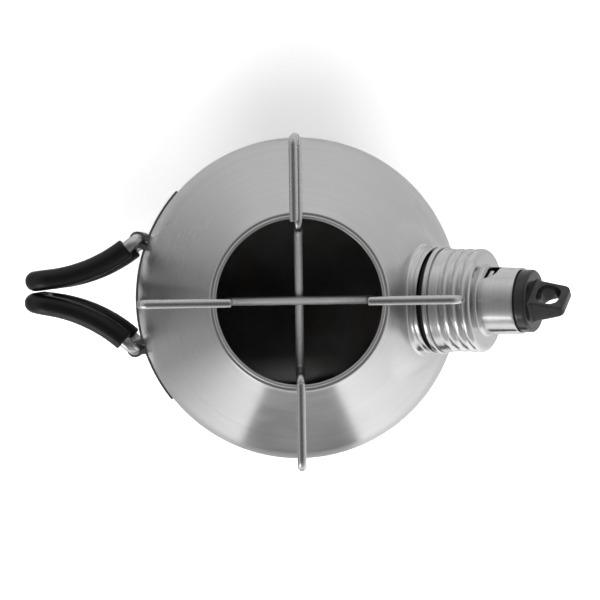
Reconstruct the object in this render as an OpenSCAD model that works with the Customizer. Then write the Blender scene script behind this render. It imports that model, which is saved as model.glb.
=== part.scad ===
// Storm kettle: a water jacket round a chimney, on a fire bowl, with a screw-on whistle cap,
// two folding wire handles and a cross-shaped pot support that hangs in the chimney's mouth.
// Origin on the chimney's axis at floor level, +Z up, +X towards the spout. Millimetres.

/* [Kettle body] */
// Outer diameter of the kettle's wall
body_d = 158; // [150:1:176]
// Height of the kettle from its foot edge to the chimney's rim
kettle_h = 162; // [155:1:190]
// Thickness of the sheet steel
sheet = 1; // [0.7:0.1:1.3]
// Angle of the cone from the vertical, which is also the spout's rise
cone_angle = 26; // [24:1:30]
// Radius of the rounding between cone and wall
shoulder_r = 50; // [35:1:55]
// Diameter of the seam where the cone ends, round the chimney's mouth
seam_d = 82; // [81:0.5:86]

/* [Chimney] */
// Clear diameter of the chimney's mouth
mouth_d = 75; // [70:0.5:76]
// Clear diameter of the chimney at its foot
flue_foot_d = 124; // [110:1:130]
// Diameter of the rolled bead round the mouth
lip_d = 1.8; // [1.4:0.1:2.2]
// Height of the jacket floor above the kettle's foot edge
floor_rise = 11; // [10:0.5:16]
// Length of chimney below the jacket floor
flue_tail = 3; // [2:0.5:4]

/* [Fire bowl] */
// Height of the ledge that the kettle stands on
bowl_h = 60; // [50:1:75]
// Lean of the bowl's wall from the vertical
bowl_taper = 16; // [10:1:20]
// Radius of the bowl's rounded bottom corner
bowl_corner_r = 14; // [8:1:20]
// Height of the collar that stands inside the kettle's foot
collar_h = 6; // [4:0.5:7]
// Width of the fuel port
port_w = 46; // [36:1:56]
// Height of the fuel port
port_h = 32; // [24:1:34]
// Height of the fuel port's centre above the floor
port_z = 32; // [28:1:34]

/* [Spout neck] */
// Distance from the kettle's wall, inwards, at which the spout leaves the cone
spout_inset = 18.6; // [15:0.2:21]
// Outer diameter of the threaded neck tube
neck_d = 43.6; // [40:0.2:44]
// Outer diameter of the neck's collar, and of the gasket on it
collar_d = 50; // [47:0.5:51]
// Height of the collar above the cone
collar_rise = 4.4; // [3.5:0.1:6]
// How far the collar's flared foot stands out from the collar
flare = 2.2; // [1:0.2:3]
// Thickness of the gasket ring on the collar
gasket_t = 2.7; // [2:0.1:3.5]

/* [Whistle cap] */
// Outer diameter of the cap's skirt
skirt_d = 48.2; // [47.6:0.2:52]
// Height of the skirt from its hem to the cap's face
skirt_h = 20; // [18:0.5:24]
// Thickness of the cap's sheet
cap_sheet = 0.8; // [0.6:0.1:1]
// Diameter of the rolled hem at the skirt's foot
hem_d = 2.6; // [2:0.1:3]
// Advance of the cap in one turn, which is also the spacing of the rolled ridges
thread_pitch = 4.6; // [4:0.1:5]
// Number of rolled ridges round the skirt, below the rounded shoulder
ridges = 2; // [1:1:3]
// Depth of the creases between the ridges
ridge_depth = 0.7; // [0.4:0.1:0.8]
// Radius of the rounding between skirt and face
face_round = 2.4; // [1.5:0.1:3]
// Thickness of the seal inside the cap
liner_t = 2; // [1.5:0.1:3]

/* [Whistle tower] */
// Outer diameter of the tower at its foot
tower_d = 31.4; // [29:0.2:33]
// Outer diameter of the tower at its top
tower_top_d = 30.6; // [28:0.2:31]
// Height of the tower
tower_h = 17.6; // [16:0.2:24]
// Radius of the fillet round the tower's foot
tower_fillet = 1.5; // [1:0.1:2]
// Height of the whistle mouth's sill above the cap's face
window_sill = 1.8; // [1.6:0.1:3]
// Height of the whistle mouth
window_h = 7.3; // [5:0.1:9]
// Depth of the whistle mouth's cut
window_depth = 4.2; // [3:0.1:5]
// Turn of the whistle mouth round the spout's axis, from the top towards +Y
window_turn = 80; // [0:5:180]
// Height of the opening left below the tongue that is pressed in at the whistle mouth
slot_h = 3.2; // [2:0.1:4.5]

/* [Loop knob] */
// Diameter of the knob's disc
knob_d = 29; // [26:0.5:30]
// Height of the knob's disc
knob_h = 5.8; // [5:0.1:9]
// Rounding of the disc's upper edge
knob_round = 1.2; // [1:0.1:2.5]
// Length of the plug that holds the knob in the tower
plug_h = 6; // [4:0.5:8]
// Width of the loop tab where it leaves the disc
tab_w = 17; // [14:0.2:18]
// Width of the loop tab near its tip
tab_tip_w = 16.4; // [15:0.2:17]
// Length of the loop tab beyond the disc
tab_l = 15.6; // [15:0.2:18]
// Thickness of the loop tab where it leaves the disc
tab_t = 12.2; // [8:0.2:13]
// Thickness of the loop tab at its tip
tab_tip_t = 4.3; // [4:0.1:6]
// Rounding of the loop tab's corners
tab_round = 2.6; // [2:0.1:4]
// Width of the loop's hole
loop_w = 12.4; // [10:0.1:13]
// Length of the loop's hole along the spout's axis
loop_l = 10; // [9.5:0.1:11]
// Rounding of the hole's corners
loop_round = 4.4; // [3:0.1:4.6]
// Width of the loop's rim beyond the hole
loop_rim = 3.4; // [2.5:0.1:4]
// Turn of the loop tab round the spout's axis
tab_turn = 38; // [0:1:90]

/* [Handles] */
// Diameter of the handle wire
handle_wire_d = 6; // [5:0.5:7]
// Outer diameter of the silicone sleeve
sleeve_d = 10; // [9:0.1:10.5]
// Height of the handles' middle above the kettle's foot edge
handle_rise = 50; // [44:1:54]
// Distance between the upper and the lower leg of a handle
handle_h = 58; // [50:1:70]
// Bend radius of the handle wire next to its hinge
hinge_bend_r = 6; // [5:0.5:8]
// Bend radius of the handle wire at its tip
tip_bend_r = 8; // [7:0.5:10]
// Radius of the handle's long curve
handle_curve_r = 74; // [60:1:78]
// Angle between a handle and the centre plane at its hinge
handle_in_angle = 40; // [34:1:41]
// Angle between a handle and the centre plane at its tip
handle_out_angle = 8; // [6:1:12]
// Distance of each hinge's axis from the handles' centre plane
hinge_spread = 26.9; // [26:0.1:30]
// Distance from the kettle's wall to a hinge's axis
hinge_offset = 5.2; // [5:0.1:7]
// Thickness of the hinge bracket's strip
bracket_t = 1; // [0.8:0.1:1.2]
// Turn of the bracket's ends round the kettle, from the handles' centre plane
bracket_turn = 40; // [32:1:50]
// Turn of the handles' centre plane from the spout's, clockwise seen from above
handle_skew = 1.3; // [-3:0.1:3]

/* [Pot support] */
// Diameter of the support wire
wire_d = 4; // [3:0.5:5]
// Distance between the upper and the lower run of an arm
arm_rise = 8; // [7:0.5:11]
// Reach of the wire along the spout's direction
long_reach = 73.4; // [66:0.2:80]
// Reach of the wire across the spout's direction
cross_reach = 75.9; // [66:0.2:80]
// Distance from the axis of the free ends of the wire along the spout
long_free_end = 30.5; // [26:0.5:40]
// Distance from the axis of the free ends of the wire across the spout
cross_free_end = 36; // [26:0.5:40]
// Depth of the crossing below the rim
crossing_depth = 32; // [24:1:40]
// Bend radius of the support wire at its legs
leg_bend_r = 4; // [3.5:0.5:6]
// Room between the support's legs and the mouth
leg_room = 2; // [1:0.5:4]
// Turn of the support in the mouth
support_turn = 0.9; // [-10:0.1:10]
// Sideways lean of the support's arm on the +Y side
rear_arm_lean = 14; // [0:1:20]

/* [Fits] */
// Gap between pieces that are welded, glued or pressed together
weld_gap = 0.05; // [0.02:0.01:0.1]
// Gap between loose pieces that rest on each other
seat_gap = 0.3; // [0.2:0.05:0.5]
// Radial clearance of the handle wire in its hinge
hinge_gap = 0.08; // [0.05:0.01:0.1]
// Radial clearance between the bowl's collar and the kettle's foot
collar_gap = 0.5; // [0.3:0.1:1]
// Play of a handle along its hinge, at each end
hinge_play = 1; // [0.5:0.1:2]

/* [Hidden] */
$fn = 96;

steel = "silver";
dark_steel = "dimgray";
black = "#1c1c1e";

// Length by which a cutting shape stands clear of what it cuts
over = 1;
body_r = body_d / 2;
spout_r = body_r - spout_inset;
seam_r = seam_d / 2;
mouth_r = mouth_d / 2;

foot_z = bowl_h + seat_gap;
rim_z = foot_z + kettle_h;
cone_top_z = rim_z - lip_d;
floor_z = foot_z + floor_rise;
flue_foot_z = floor_z - sheet - flue_tail;
lip_z = rim_z - lip_d / 2;
flue_top_r = mouth_r + (lip_d - sheet) / 2;

// Centre of the rounding between cone and wall
shoulder_c = body_r - shoulder_r;
shoulder_z = cone_top_z - (shoulder_c + shoulder_r * cos(cone_angle) - seam_r) / tan(cone_angle)
  - shoulder_r * sin(cone_angle);

// Spout: stations along its axis, counted from the cone's surface
spout_z = cone_top_z - (spout_r - seam_r) / tan(cone_angle);
gasket_s = collar_rise;
hem_s = gasket_s + gasket_t + seat_gap;
skirt_s = hem_s + hem_d;
face_s = skirt_s + skirt_h;
liner_s = face_s - cap_sheet - seat_gap - liner_t;
neck_end_s = liner_s - seat_gap;
tower_top_s = face_s + tower_h;
knob_top_s = tower_top_s + knob_h;
skirt_r = skirt_d / 2;
cap_bore_r = skirt_r - ridge_depth - cap_sheet;
neck_r = neck_d / 2;
neck_bore_r = neck_r - sheet;
// Depth to which the neck's foot is drawn before the cone trims it
neck_foot = 14;

tower_bore_r = tower_top_d / 2 - cap_sheet;
// Thickness of the whistle plate, and depth of the slot in it that feeds the whistle mouth
plate_t = 1;
plate_slot = 1.6;
// Depth of the tongue's face below the whistle mouth's cut edge
tongue_step = 0.1;

// Handles: each hinge stands on the bracket, at this radius and height
hinge_r = body_r + hinge_offset;
hinge_turn = asin(hinge_spread / hinge_r);
handle_z = foot_z + handle_rise;
handle_wire_r = handle_wire_d / 2;
barrel_bore_r = handle_wire_r + hinge_gap;
barrel_r = barrel_bore_r + bracket_t;
barrel_h = handle_h - 2 * (hinge_bend_r + hinge_play);
handle_sweep = handle_in_angle - handle_out_angle;
// Angle of the long curve that the sleeve leaves bare next to the hinge
sleeve_bare = 1.5;
// Width of the slit between the bracket's barrel and the wall
barrel_slit = 2;

// A wire's long runs reach this far into the bends at their ends, and are thinner by the step
run_overlap = 0.2;
run_step = 0.01;
leg_overlap = run_overlap / handle_curve_r * 180 / PI;

// Pot support: heights of its runs
wire_r = wire_d / 2;
low_run_z = rim_z + seat_gap + wire_r;
leg_r = mouth_r - leg_room - wire_r;

// Point at an angle and distance from a centre, in the plane of a section
function polar(centre, r, angle) = [centre[0] + r * cos(angle), centre[1] + r * sin(angle)];

// Inner radius of the chimney's wall at a height: the wall hangs from the middle of the bead
function flue_r(z) = flue_top_r + (flue_foot_d / 2 - flue_top_r) * (lip_z - z) / (lip_z - flue_foot_z);

// Pie slice of a circle between two angles less than 120 degrees apart
module pie(centre, r, from, to) {
  intersection() {
    translate(centre) circle(r);
    polygon([centre, polar(centre, 2 * r, from), polar(centre, 2 * r, to)]);
  }
}

// Half section of the kettle's outside, moved inwards by inset
module body_section(inset) {
  centre = [shoulder_c, shoulder_z];
  r = shoulder_r - inset;
  pie(centre, r, 0, cone_angle);
  polygon([
    [0, foot_z],
    [body_r - inset, foot_z],
    polar(centre, r, 0),
    polar(centre, r, cone_angle),
    [seam_r - inset / cos(cone_angle), cone_top_z],
    [0, cone_top_z]
  ]);
}

// Places its children at the spout: local Z along the spout's axis, local -X upwards
module at_spout(s = 0) {
  translate([spout_r, 0, spout_z])
    rotate([0, 90 - cone_angle, 0])
      translate([0, 0, s]) children();
}

// Half section of the fire bowl's outside, moved inwards by inset
module bowl_section(inset, top_z) {
  rise = (bowl_h - bowl_corner_r) * sin(bowl_taper);
  centre = [body_r - (bowl_corner_r + rise) / cos(bowl_taper), bowl_corner_r];
  r = bowl_corner_r - inset;
  ledge_r = body_r - inset / cos(bowl_taper) - inset * tan(bowl_taper);
  collar_r = body_r - 2 * (sheet + weld_gap) - collar_gap - inset;
  pie(centre, r, -90, -bowl_taper);
  polygon([
    [0, inset],
    polar(centre, r, -90),
    polar(centre, r, -bowl_taper),
    [ledge_r, bowl_h - inset],
    [collar_r, bowl_h - inset],
    [collar_r, top_z],
    [0, top_z]
  ]);
}

// Fuel port: a slot with round ends, cut through the bowl's wall on the -Y side
module fuel_port() {
  end_x = (port_w - port_h) / 2;
  translate([0, 0, port_z]) rotate([90, 0, 0]) linear_extrude(body_d) {
    square([2 * end_x, port_h], center = true);
    for (side = [-1, 1]) translate([side * end_x, 0]) circle(d = port_h);
  }
}

module fire_bowl() {
  top_z = bowl_h + collar_h;
  color(dark_steel) difference() {
    rotate_extrude() difference() {
      bowl_section(0, top_z);
      bowl_section(sheet, top_z + over);
    }
    fuel_port();
  }
}

module outer_shell() {
  flange_r = flue_r(cone_top_z - sheet) + sheet + weld_gap;
  color(steel) difference() {
    rotate_extrude() {
      difference() {
        body_section(0);
        body_section(sheet);
      }
      translate([flange_r, cone_top_z - sheet]) square([seam_r - flange_r - sheet / 2, sheet]);
    }
    at_spout(-neck_foot) cylinder(r = neck_bore_r, h = 2 * neck_foot);
  }
}

module chimney() {
  color(dark_steel) {
    rotate_extrude() translate([mouth_r + lip_d / 2, lip_z]) circle(d = lip_d);
    rotate_extrude() polygon([
      [flue_r(lip_z), lip_z],
      [flue_r(lip_z) + sheet, lip_z],
      [flue_r(flue_foot_z) + sheet, flue_foot_z],
      [flue_r(flue_foot_z), flue_foot_z]
    ]);
  }
}

module jacket_floor() {
  rim_r = body_r - sheet - weld_gap;
  hole_top_r = flue_r(floor_z) + sheet + 2 * weld_gap;
  hole_foot_r = flue_r(floor_z - sheet) + sheet + 2 * weld_gap;
  color(steel) rotate_extrude() {
    polygon([
      [hole_foot_r, floor_z - sheet],
      [rim_r, floor_z - sheet],
      [rim_r, floor_z],
      [hole_top_r, floor_z]
    ]);
    translate([rim_r - sheet, foot_z]) square([sheet, floor_rise]);
  }
}

module spout_neck() {
  color(steel) difference() {
    at_spout(-neck_foot) {
      difference() {
        union() {
          cylinder(r = neck_r, h = neck_foot + neck_end_s);
          cylinder(d = collar_d, h = neck_foot + collar_rise);
          cylinder(d1 = collar_d + 4 * flare, d2 = collar_d, h = neck_foot + collar_rise / 2);
        }
        translate([0, 0, -over]) cylinder(r = neck_bore_r, h = neck_foot + neck_end_s + 2 * over);
      }
    }
    rotate_extrude() body_section(-weld_gap);
  }
}

module neck_gasket() {
  color(black) at_spout(gasket_s) difference() {
    cylinder(d = collar_d, h = gasket_t);
    translate([0, 0, -over]) cylinder(r = neck_r + weld_gap, h = gasket_t + 2 * over);
  }
}

// Plan of the hinge bracket: a strip round the wall that wraps round both hinge pins
module bracket_plan() {
  inner_r = body_r + weld_gap;
  difference() {
    union() {
      intersection() {
        difference() {
          circle(inner_r + bracket_t);
          circle(inner_r);
        }
        polygon([
          [0, 0],
          polar([0, 0], 2 * body_r, 180 - bracket_turn),
          polar([0, 0], 2 * body_r, 180 + bracket_turn)
        ]);
      }
      for (side = [-1, 1]) rotate(180 + side * hinge_turn) {
        translate([hinge_r, 0]) circle(barrel_r);
        polygon([
          [inner_r, -barrel_r],
          [hinge_r, -barrel_bore_r],
          [hinge_r, barrel_bore_r],
          [inner_r, barrel_r]
        ]);
      }
    }
    for (side = [-1, 1]) rotate(180 + side * hinge_turn) {
      translate([hinge_r, 0]) circle(barrel_bore_r);
      translate([body_r - over, -barrel_slit / 2]) square([hinge_offset + over, barrel_slit]);
    }
    circle(inner_r);
  }
}

module handle_bracket() {
  color(steel) rotate([0, 0, -handle_skew]) translate([0, 0, handle_z - barrel_h / 2])
    linear_extrude(barrel_h) bracket_plan();
}

// Places its children at the hinge on the +Y side: local X along the handle where it starts
module at_hinge() {
  translate([hinge_r * cos(180 - hinge_turn), hinge_r * sin(180 - hinge_turn), handle_z])
    rotate([0, 0, 180 + handle_in_angle]) children();
}

// Places its children at the end of the long curve: local X along the handle's tip
module at_curve_end() {
  translate([hinge_bend_r, -handle_curve_r, 0]) rotate([0, 0, -handle_sweep])
    translate([0, handle_curve_r, 0]) children();
}

// Section of a round bar, or of a tube round it
module bar_section(d, bore_d) {
  difference() {
    circle(d = d);
    if (bore_d > 0) circle(d = bore_d);
  }
}

// Quarter bend in the XZ plane round a centre, from one angle on
module quarter_bend(x, z, bend_r, from, d, bore_d) {
  translate([x, 0, z]) rotate([90, 0, 0]) rotate([0, 0, from]) rotate_extrude(angle = 90)
    translate([bend_r, 0]) bar_section(d, bore_d);
}

// Outer part of a handle, from the long curve to the tip: two curved legs and the upright.
// A leg's section is turned so that its start point lies where those of the bends do.
module handle_loop(d, bore_d, leg_angle) {
  bend_z = handle_h / 2 - tip_bend_r;
  at_curve_end() {
    for (leg_z = [-handle_h / 2, handle_h / 2]) translate([0, -handle_curve_r, leg_z])
      rotate([0, 0, 90]) rotate_extrude(angle = leg_angle)
        translate([handle_curve_r, 0]) rotate(90) bar_section(d, bore_d);
    quarter_bend(0, bend_z, tip_bend_r, 0, d, bore_d);
    quarter_bend(0, -bend_z, tip_bend_r, -90, d, bore_d);
    translate([tip_bend_r, 0, -bend_z]) linear_extrude(2 * bend_z) bar_section(d, bore_d);
  }
}

// Handle wire on the +Y side: hinge pin, bends next to it, and the loop
module handle_wire() {
  bend_z = handle_h / 2 - hinge_bend_r;
  at_hinge() {
    handle_loop(handle_wire_d - 2 * run_step, 0, handle_sweep + leg_overlap);
    quarter_bend(hinge_bend_r, bend_z, hinge_bend_r, 90, handle_wire_d, 0);
    quarter_bend(hinge_bend_r, -bend_z, hinge_bend_r, 180, handle_wire_d, 0);
    translate([0, 0, -bend_z]) cylinder(r = handle_wire_r, h = 2 * bend_z);
  }
}

// Silicone sleeve on the +Y side, drawn over the handle's loop
module grip_sleeve() {
  at_hinge() handle_loop(sleeve_d, handle_wire_d + 2 * weld_gap, handle_sweep - sleeve_bare);
}

module left_handle_wire() {
  color(steel) rotate([0, 0, -handle_skew]) handle_wire();
}

module left_grip_sleeve() {
  color(black) rotate([0, 0, -handle_skew]) grip_sleeve();
}

module right_handle_wire() {
  color(steel) rotate([0, 0, -handle_skew]) mirror([0, 1, 0]) handle_wire();
}

module right_grip_sleeve() {
  color(black) rotate([0, 0, -handle_skew]) mirror([0, 1, 0]) grip_sleeve();
}

module cap_liner() {
  outer_r = cap_bore_r - seat_gap;
  color(black) at_spout(liner_s) difference() {
    cylinder(r = outer_r, h = liner_t);
    translate([0, 0, -over]) cylinder(r = tower_bore_r, h = liner_t + 2 * over);
  }
}

// Half section of the cap's outside: hem, plain band, rolled ridges, and a shoulder under the face
module cap_blank() {
  valley_r = skirt_r - ridge_depth;
  ridge_r = thread_pitch / 2;
  band_s = skirt_s - cap_sheet / 2;
  ridges_s = face_s - (ridges + 1) * thread_pitch;
  shoulder_s = face_s - face_round;
  under_r = thread_pitch - face_round;
  translate([0, hem_s + hem_d / 2]) square([valley_r, shoulder_s - hem_s - hem_d / 2]);
  translate([0, band_s]) square([skirt_r, ridges_s - band_s]);
  for (k = [1 : ridges])
    translate([skirt_r - ridge_r, ridges_s + (k - 0.5) * thread_pitch]) circle(ridge_r);
  translate([0, shoulder_s]) square([skirt_r - face_round, face_round]);
  pie([skirt_r - face_round, shoulder_s], face_round, 0, 90);
  pie([skirt_r - under_r, shoulder_s], under_r, -90, 0);
  translate([skirt_r - hem_d / 2 + ridge_depth, hem_s + hem_d / 2]) circle(d = hem_d);
}

module whistle_cap() {
  color(steel) at_spout() rotate_extrude() difference() {
    cap_blank();
    translate([0, -over]) square([cap_bore_r, face_s - cap_sheet + over]);
    square([tower_bore_r, face_s + over]);
  }
}

// Whistle mouth: a square sill and a sloping back, cut into the side of the tower
module whistle_mouth() {
  lip_r = tower_d / 2 - window_depth;
  rotate([0, 0, 180 - window_turn]) rotate([90, 0, 0])
    translate([0, 0, -tower_d / 2]) linear_extrude(tower_d) polygon([
      [lip_r, window_sill],
      [tower_d / 2 + over, window_sill],
      [tower_d / 2 + over, window_sill + window_h],
      [tower_d / 2, window_sill + window_h]
    ]);
}

// Tongue of the whistle mouth: sheet that follows the sloping back, let into the tower's wall
module whistle_tongue() {
  lean = window_depth / window_h;
  foot_s = window_sill + slot_h;
  face_r = tower_d / 2 - tongue_step - lean * (window_sill + window_h - foot_s);
  intersection() {
    rotate([0, 0, 180 - window_turn]) rotate([90, 0, 0])
      translate([0, 0, -tower_d / 2]) linear_extrude(tower_d) polygon([
        [face_r, foot_s],
        [tower_d / 2 - tongue_step, window_sill + window_h],
        [tower_d / 2 - tongue_step - cap_sheet, window_sill + window_h],
        [face_r - cap_sheet, foot_s]
      ]);
    cylinder(r = tower_bore_r + cap_sheet / 2, h = tower_h);
  }
}

module whistle_tower() {
  foot_r = tower_d / 2;
  color(steel) at_spout(face_s) {
    difference() {
      rotate_extrude() difference() {
        union() {
          polygon([
            [tower_bore_r, 0],
            [foot_r, 0],
            [tower_top_d / 2, tower_h],
            [tower_bore_r, tower_h]
          ]);
          translate([foot_r - cap_sheet / 2, 0]) square([tower_fillet + cap_sheet / 2, tower_fillet]);
        }
        translate([foot_r + tower_fillet, tower_fillet]) circle(tower_fillet);
      }
      whistle_mouth();
    }
    whistle_tongue();
  }
}

module whistle_plate() {
  plate_r = tower_bore_r - weld_gap;
  color(steel) at_spout(face_s) difference() {
    cylinder(r = plate_r, h = plate_t);
    rotate([0, 0, 180 - window_turn]) translate([plate_r - plate_slot, -plate_r / 2, -over])
      cube([plate_slot + over, plate_r, plate_t + 2 * over]);
  }
}

// Loop tab's face outline, across its width and along the spout's axis
module tab_outline() {
  corner_x = tab_tip_w / 2 - tab_round;
  difference() {
    union() {
      polygon([
        [-tab_w / 2, -knob_round],
        [tab_w / 2, -knob_round],
        [tab_tip_w / 2, tab_l - tab_round],
        [-tab_tip_w / 2, tab_l - tab_round]
      ]);
      translate([-corner_x, 0]) square([2 * corner_x, tab_l]);
      for (side = [-1, 1]) translate([side * corner_x, tab_l - tab_round]) circle(tab_round);
    }
    loop_hole();
  }
}

// Hole of the loop: a rounded rectangle
module loop_hole() {
  far_y = tab_l - loop_rim;
  near_y = far_y - loop_l;
  corner_x = loop_w / 2 - loop_round;
  translate([-loop_w / 2, near_y + loop_round]) square([loop_w, loop_l - 2 * loop_round]);
  translate([-corner_x, near_y]) square([2 * corner_x, loop_l]);
  for (x = [-corner_x, corner_x], y = [near_y + loop_round, far_y - loop_round])
    translate([x, y]) circle(loop_round);
}

// Loop tab seen from its edge: a wedge, thick at the disc
module tab_wedge() {
  polygon([
    [-tab_t / 2, -knob_round],
    [tab_t / 2, -knob_round],
    [tab_tip_t / 2, tab_l],
    [-tab_tip_t / 2, tab_l]
  ]);
}

module loop_knob() {
  disc_r = knob_d / 2;
  color(black) {
    at_spout(tower_top_s) rotate_extrude() {
      translate([0, -plug_h]) square([tower_bore_r - weld_gap, plug_h]);
      square([disc_r, knob_h - knob_round]);
      translate([0, knob_h - knob_round]) square([disc_r - knob_round, knob_round]);
      pie([disc_r - knob_round, knob_h - knob_round], knob_round, 0, 90);
    }
    at_spout(knob_top_s) rotate([0, 0, tab_turn]) intersection() {
      rotate([90, 0, 0]) translate([0, 0, -tab_t]) linear_extrude(2 * tab_t) tab_outline();
      rotate([90, 0, 90]) translate([0, 0, -tab_w]) linear_extrude(2 * tab_w) tab_wedge();
    }
  }
}

// Straight run of support wire along +X from one distance to another
module wire_run(from, to, r = wire_r) {
  translate([from, 0, 0]) rotate([0, 90, 0]) cylinder(r = r, h = to - from);
}

// Arc of support wire in the XZ plane
module wire_arc(x, z, r, from, sweep) {
  translate([x, 0, z]) rotate([90, 0, 0]) rotate([0, 0, from]) rotate_extrude(angle = sweep)
    translate([r, 0]) circle(wire_r);
}

// Half of a support wire along +X: crossing, leg, lower run, and the upper run folded back over it
module support_half(reach, free_end, crossing_z, lean) {
  fold_r = arm_rise / 2;
  fold_x = reach - wire_r - fold_r;
  out_x = leg_r + leg_bend_r;
  leg_foot_z = crossing_z + leg_bend_r;
  leg_top_z = low_run_z - leg_bend_r;
  translate([0, 0, crossing_z]) wire_run(0, leg_r - leg_bend_r);
  wire_arc(leg_r - leg_bend_r, leg_foot_z, leg_bend_r, -90, 90);
  translate([leg_r, 0, leg_foot_z]) cylinder(r = wire_r, h = leg_top_z - leg_foot_z);
  wire_arc(out_x, leg_top_z, leg_bend_r, 90, 90);
  translate([0, 0, low_run_z]) {
    wire_run(out_x - run_overlap, fold_x + run_overlap, wire_r - run_step);
    rotate([lean, 0, 0]) {
      wire_arc(fold_x, fold_r, fold_r, -90, 180);
      translate([0, 0, arm_rise]) wire_run(free_end, fold_x);
    }
  }
}

module upper_support_wire() {
  crossing_z = rim_z - crossing_depth + wire_d + weld_gap;
  color(steel) rotate([0, 0, support_turn]) for (side = [0, 180])
    rotate([0, 0, side]) support_half(long_reach, long_free_end, crossing_z, 0);
}

module lower_support_wire() {
  color(steel) rotate([0, 0, support_turn]) for (side = [90, 270])
    rotate([0, 0, side]) support_half(cross_reach, cross_free_end, rim_z - crossing_depth,
      side == 90 ? -rear_arm_lean : 0);
}

fire_bowl();
outer_shell();
chimney();
jacket_floor();
spout_neck();
neck_gasket();
handle_bracket();
left_handle_wire();
left_grip_sleeve();
right_handle_wire();
right_grip_sleeve();
cap_liner();
whistle_cap();
whistle_tower();
whistle_plate();
loop_knob();
upper_support_wire();
lower_support_wire();
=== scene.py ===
"""Storm kettle: spun steel jacket, chimney, screw-on whistle cap, folding handles and pot support.

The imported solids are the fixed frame. Each operator models one piece, or a group of like pieces,
in the solids' place and gives it its finish; the stage operator adds floor, light and camera.
"""

import math

import bmesh
import bpy
from mathutils import Matrix, Vector


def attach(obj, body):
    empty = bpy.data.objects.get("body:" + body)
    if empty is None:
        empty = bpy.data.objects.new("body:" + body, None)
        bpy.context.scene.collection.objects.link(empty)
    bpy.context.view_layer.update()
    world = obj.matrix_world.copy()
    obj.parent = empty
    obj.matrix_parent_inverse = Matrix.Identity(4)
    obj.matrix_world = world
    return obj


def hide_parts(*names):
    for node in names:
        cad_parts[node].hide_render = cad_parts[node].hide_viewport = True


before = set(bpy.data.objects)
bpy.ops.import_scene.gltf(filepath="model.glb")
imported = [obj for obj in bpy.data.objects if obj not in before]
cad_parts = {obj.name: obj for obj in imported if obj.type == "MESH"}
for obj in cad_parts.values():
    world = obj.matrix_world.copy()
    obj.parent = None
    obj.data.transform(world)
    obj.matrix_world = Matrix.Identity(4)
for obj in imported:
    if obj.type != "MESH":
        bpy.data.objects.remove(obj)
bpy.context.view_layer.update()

bl_info = {
    "name": "Storm Kettle",
    "version": (1, 0, 0),
    "blender": (4, 5, 0),
    "location": "View3D > Sidebar > Kettle",
    "description": "Models a storm kettle's pieces and finishes on its packed solids",
    "category": "Add Mesh",
}

MM = 0.001
X_AXIS = Vector((1.0, 0.0, 0.0))
Y_AXIS = Vector((0.0, 1.0, 0.0))
Z_AXIS = Vector((0.0, 0.0, 1.0))
ORIGIN = Vector((0.0, 0.0, 0.0))
QUARTER = math.radians(90.0)
FULL_TURN = math.radians(360.0)

# Steps of a full spin on the large body, and on pieces of the spout's size
BODY_STEPS = 256
CAP_STEPS = 192
# Sides of a bent wire, and steps of its bends
WIRE_SIDES = 32
BEND_STEPS = 12
CURVE_STEPS = 24
# Segments of a rounded corner: in a lathe profile, there with a wide radius, in a flat outline, on an edge
ROUND_SEGMENTS = 5
SHOULDER_SEGMENTS = 16
LOOP_SEGMENTS = 8
EDGE_SEGMENTS = 3
# A corner with a larger radius than this is a wide one
WIDE_ROUND = 10 * MM
# Longest stretch of a profile that isn't cut: shell, tower and knob, neck and gasket, cap
SHELL_ROW = 2.5 * MM
TOWER_ROW = 1 * MM
NECK_ROW = 0.6 * MM
CAP_ROW = 0.3 * MM
# Edges that turn by more than this stay crisp
SHARP_ANGLE = math.radians(40.0)
# The same for the moulded knob
KNOB_SHARP_ANGLE = math.radians(30.0)
# Faces of the loop tab that turn by less than this are joined
FLAT_ANGLE = math.radians(1.0)
# Edges of the loop tab that turn by more than this are rounded
RIM_ANGLE = math.radians(50.0)
# Points closer than this are one
WELD = 1e-6
# Points this near to a wall's radius belong to the wall
WALL_REACH = 0.02 * MM
# Gap between seated or welded pieces, as in the solids
SEAM_GAP = 0.05 * MM
# Width of a fillet's foot as a share of its radius
FILLET_ROOM = 1.1
# Rounding of the sheet's cut edge as a share of its thickness
SHEET_EDGE = 0.3

# Depth of the neck's foot below the cone, and length of the cut that opens the shell under it
NECK_SINK = 2 * MM
BORE_CUT = 28 * MM
# Height of the collar's foot edge, which is also the inset of its lip
COLLAR_EDGE = 0.1 * MM
# Roundings of the neck and of the gasket
BEAD_ROUND = 0.8 * MM
LIP_FOOT_ROUND = 0.15 * MM
LIP_OUTER_ROUND = 0.3 * MM
LIP_INNER_ROUND = 0.2 * MM
NECK_END_ROUND = 0.4 * MM
GASKET_BORE_ROUND = 0.3 * MM
GASKET_FOOT_ROUND = 0.2 * MM
GASKET_TOP_ROUND = 0.6 * MM
# Roundings of the cap, its tower and the knob
HEM_BORE_ROUND = 0.4 * MM
HEM_FOOT_ROUND = 0.9 * MM
HEM_TOP_ROUND = 0.6 * MM
BAND_ROUND = 0.25 * MM
FACE_INNER_ROUND = 0.6 * MM
TOWER_TOP_ROUND = 0.25 * MM
PLUG_ROUND = 0.5 * MM
REBATE_ROUND = 0.2 * MM
# Plain stretch at both ends of the neck's thread, and lengths over which neck's and cap's threads run out
THREAD_MARGIN = 1 * MM
NECK_FADE = 2 * MM
CAP_FADE = 1.6 * MM
# The higher, the narrower a rolled thread's crease is beside its rounded ridge
CREASE_SHARPNESS = 1.3
# Share of the cone's fall round the spout that the pressed boss makes up
BOSS_SHARE = 0.6

# Range in which most of a noise's values lie
NOISE_RANGE = {"From Min": 0.3, "From Max": 0.7}
# Brushed rings: long round the axis, 0.35 mm apart along it
RING_SCALE = (9.0, 9.0, 1 / (0.35 * MM))
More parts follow.
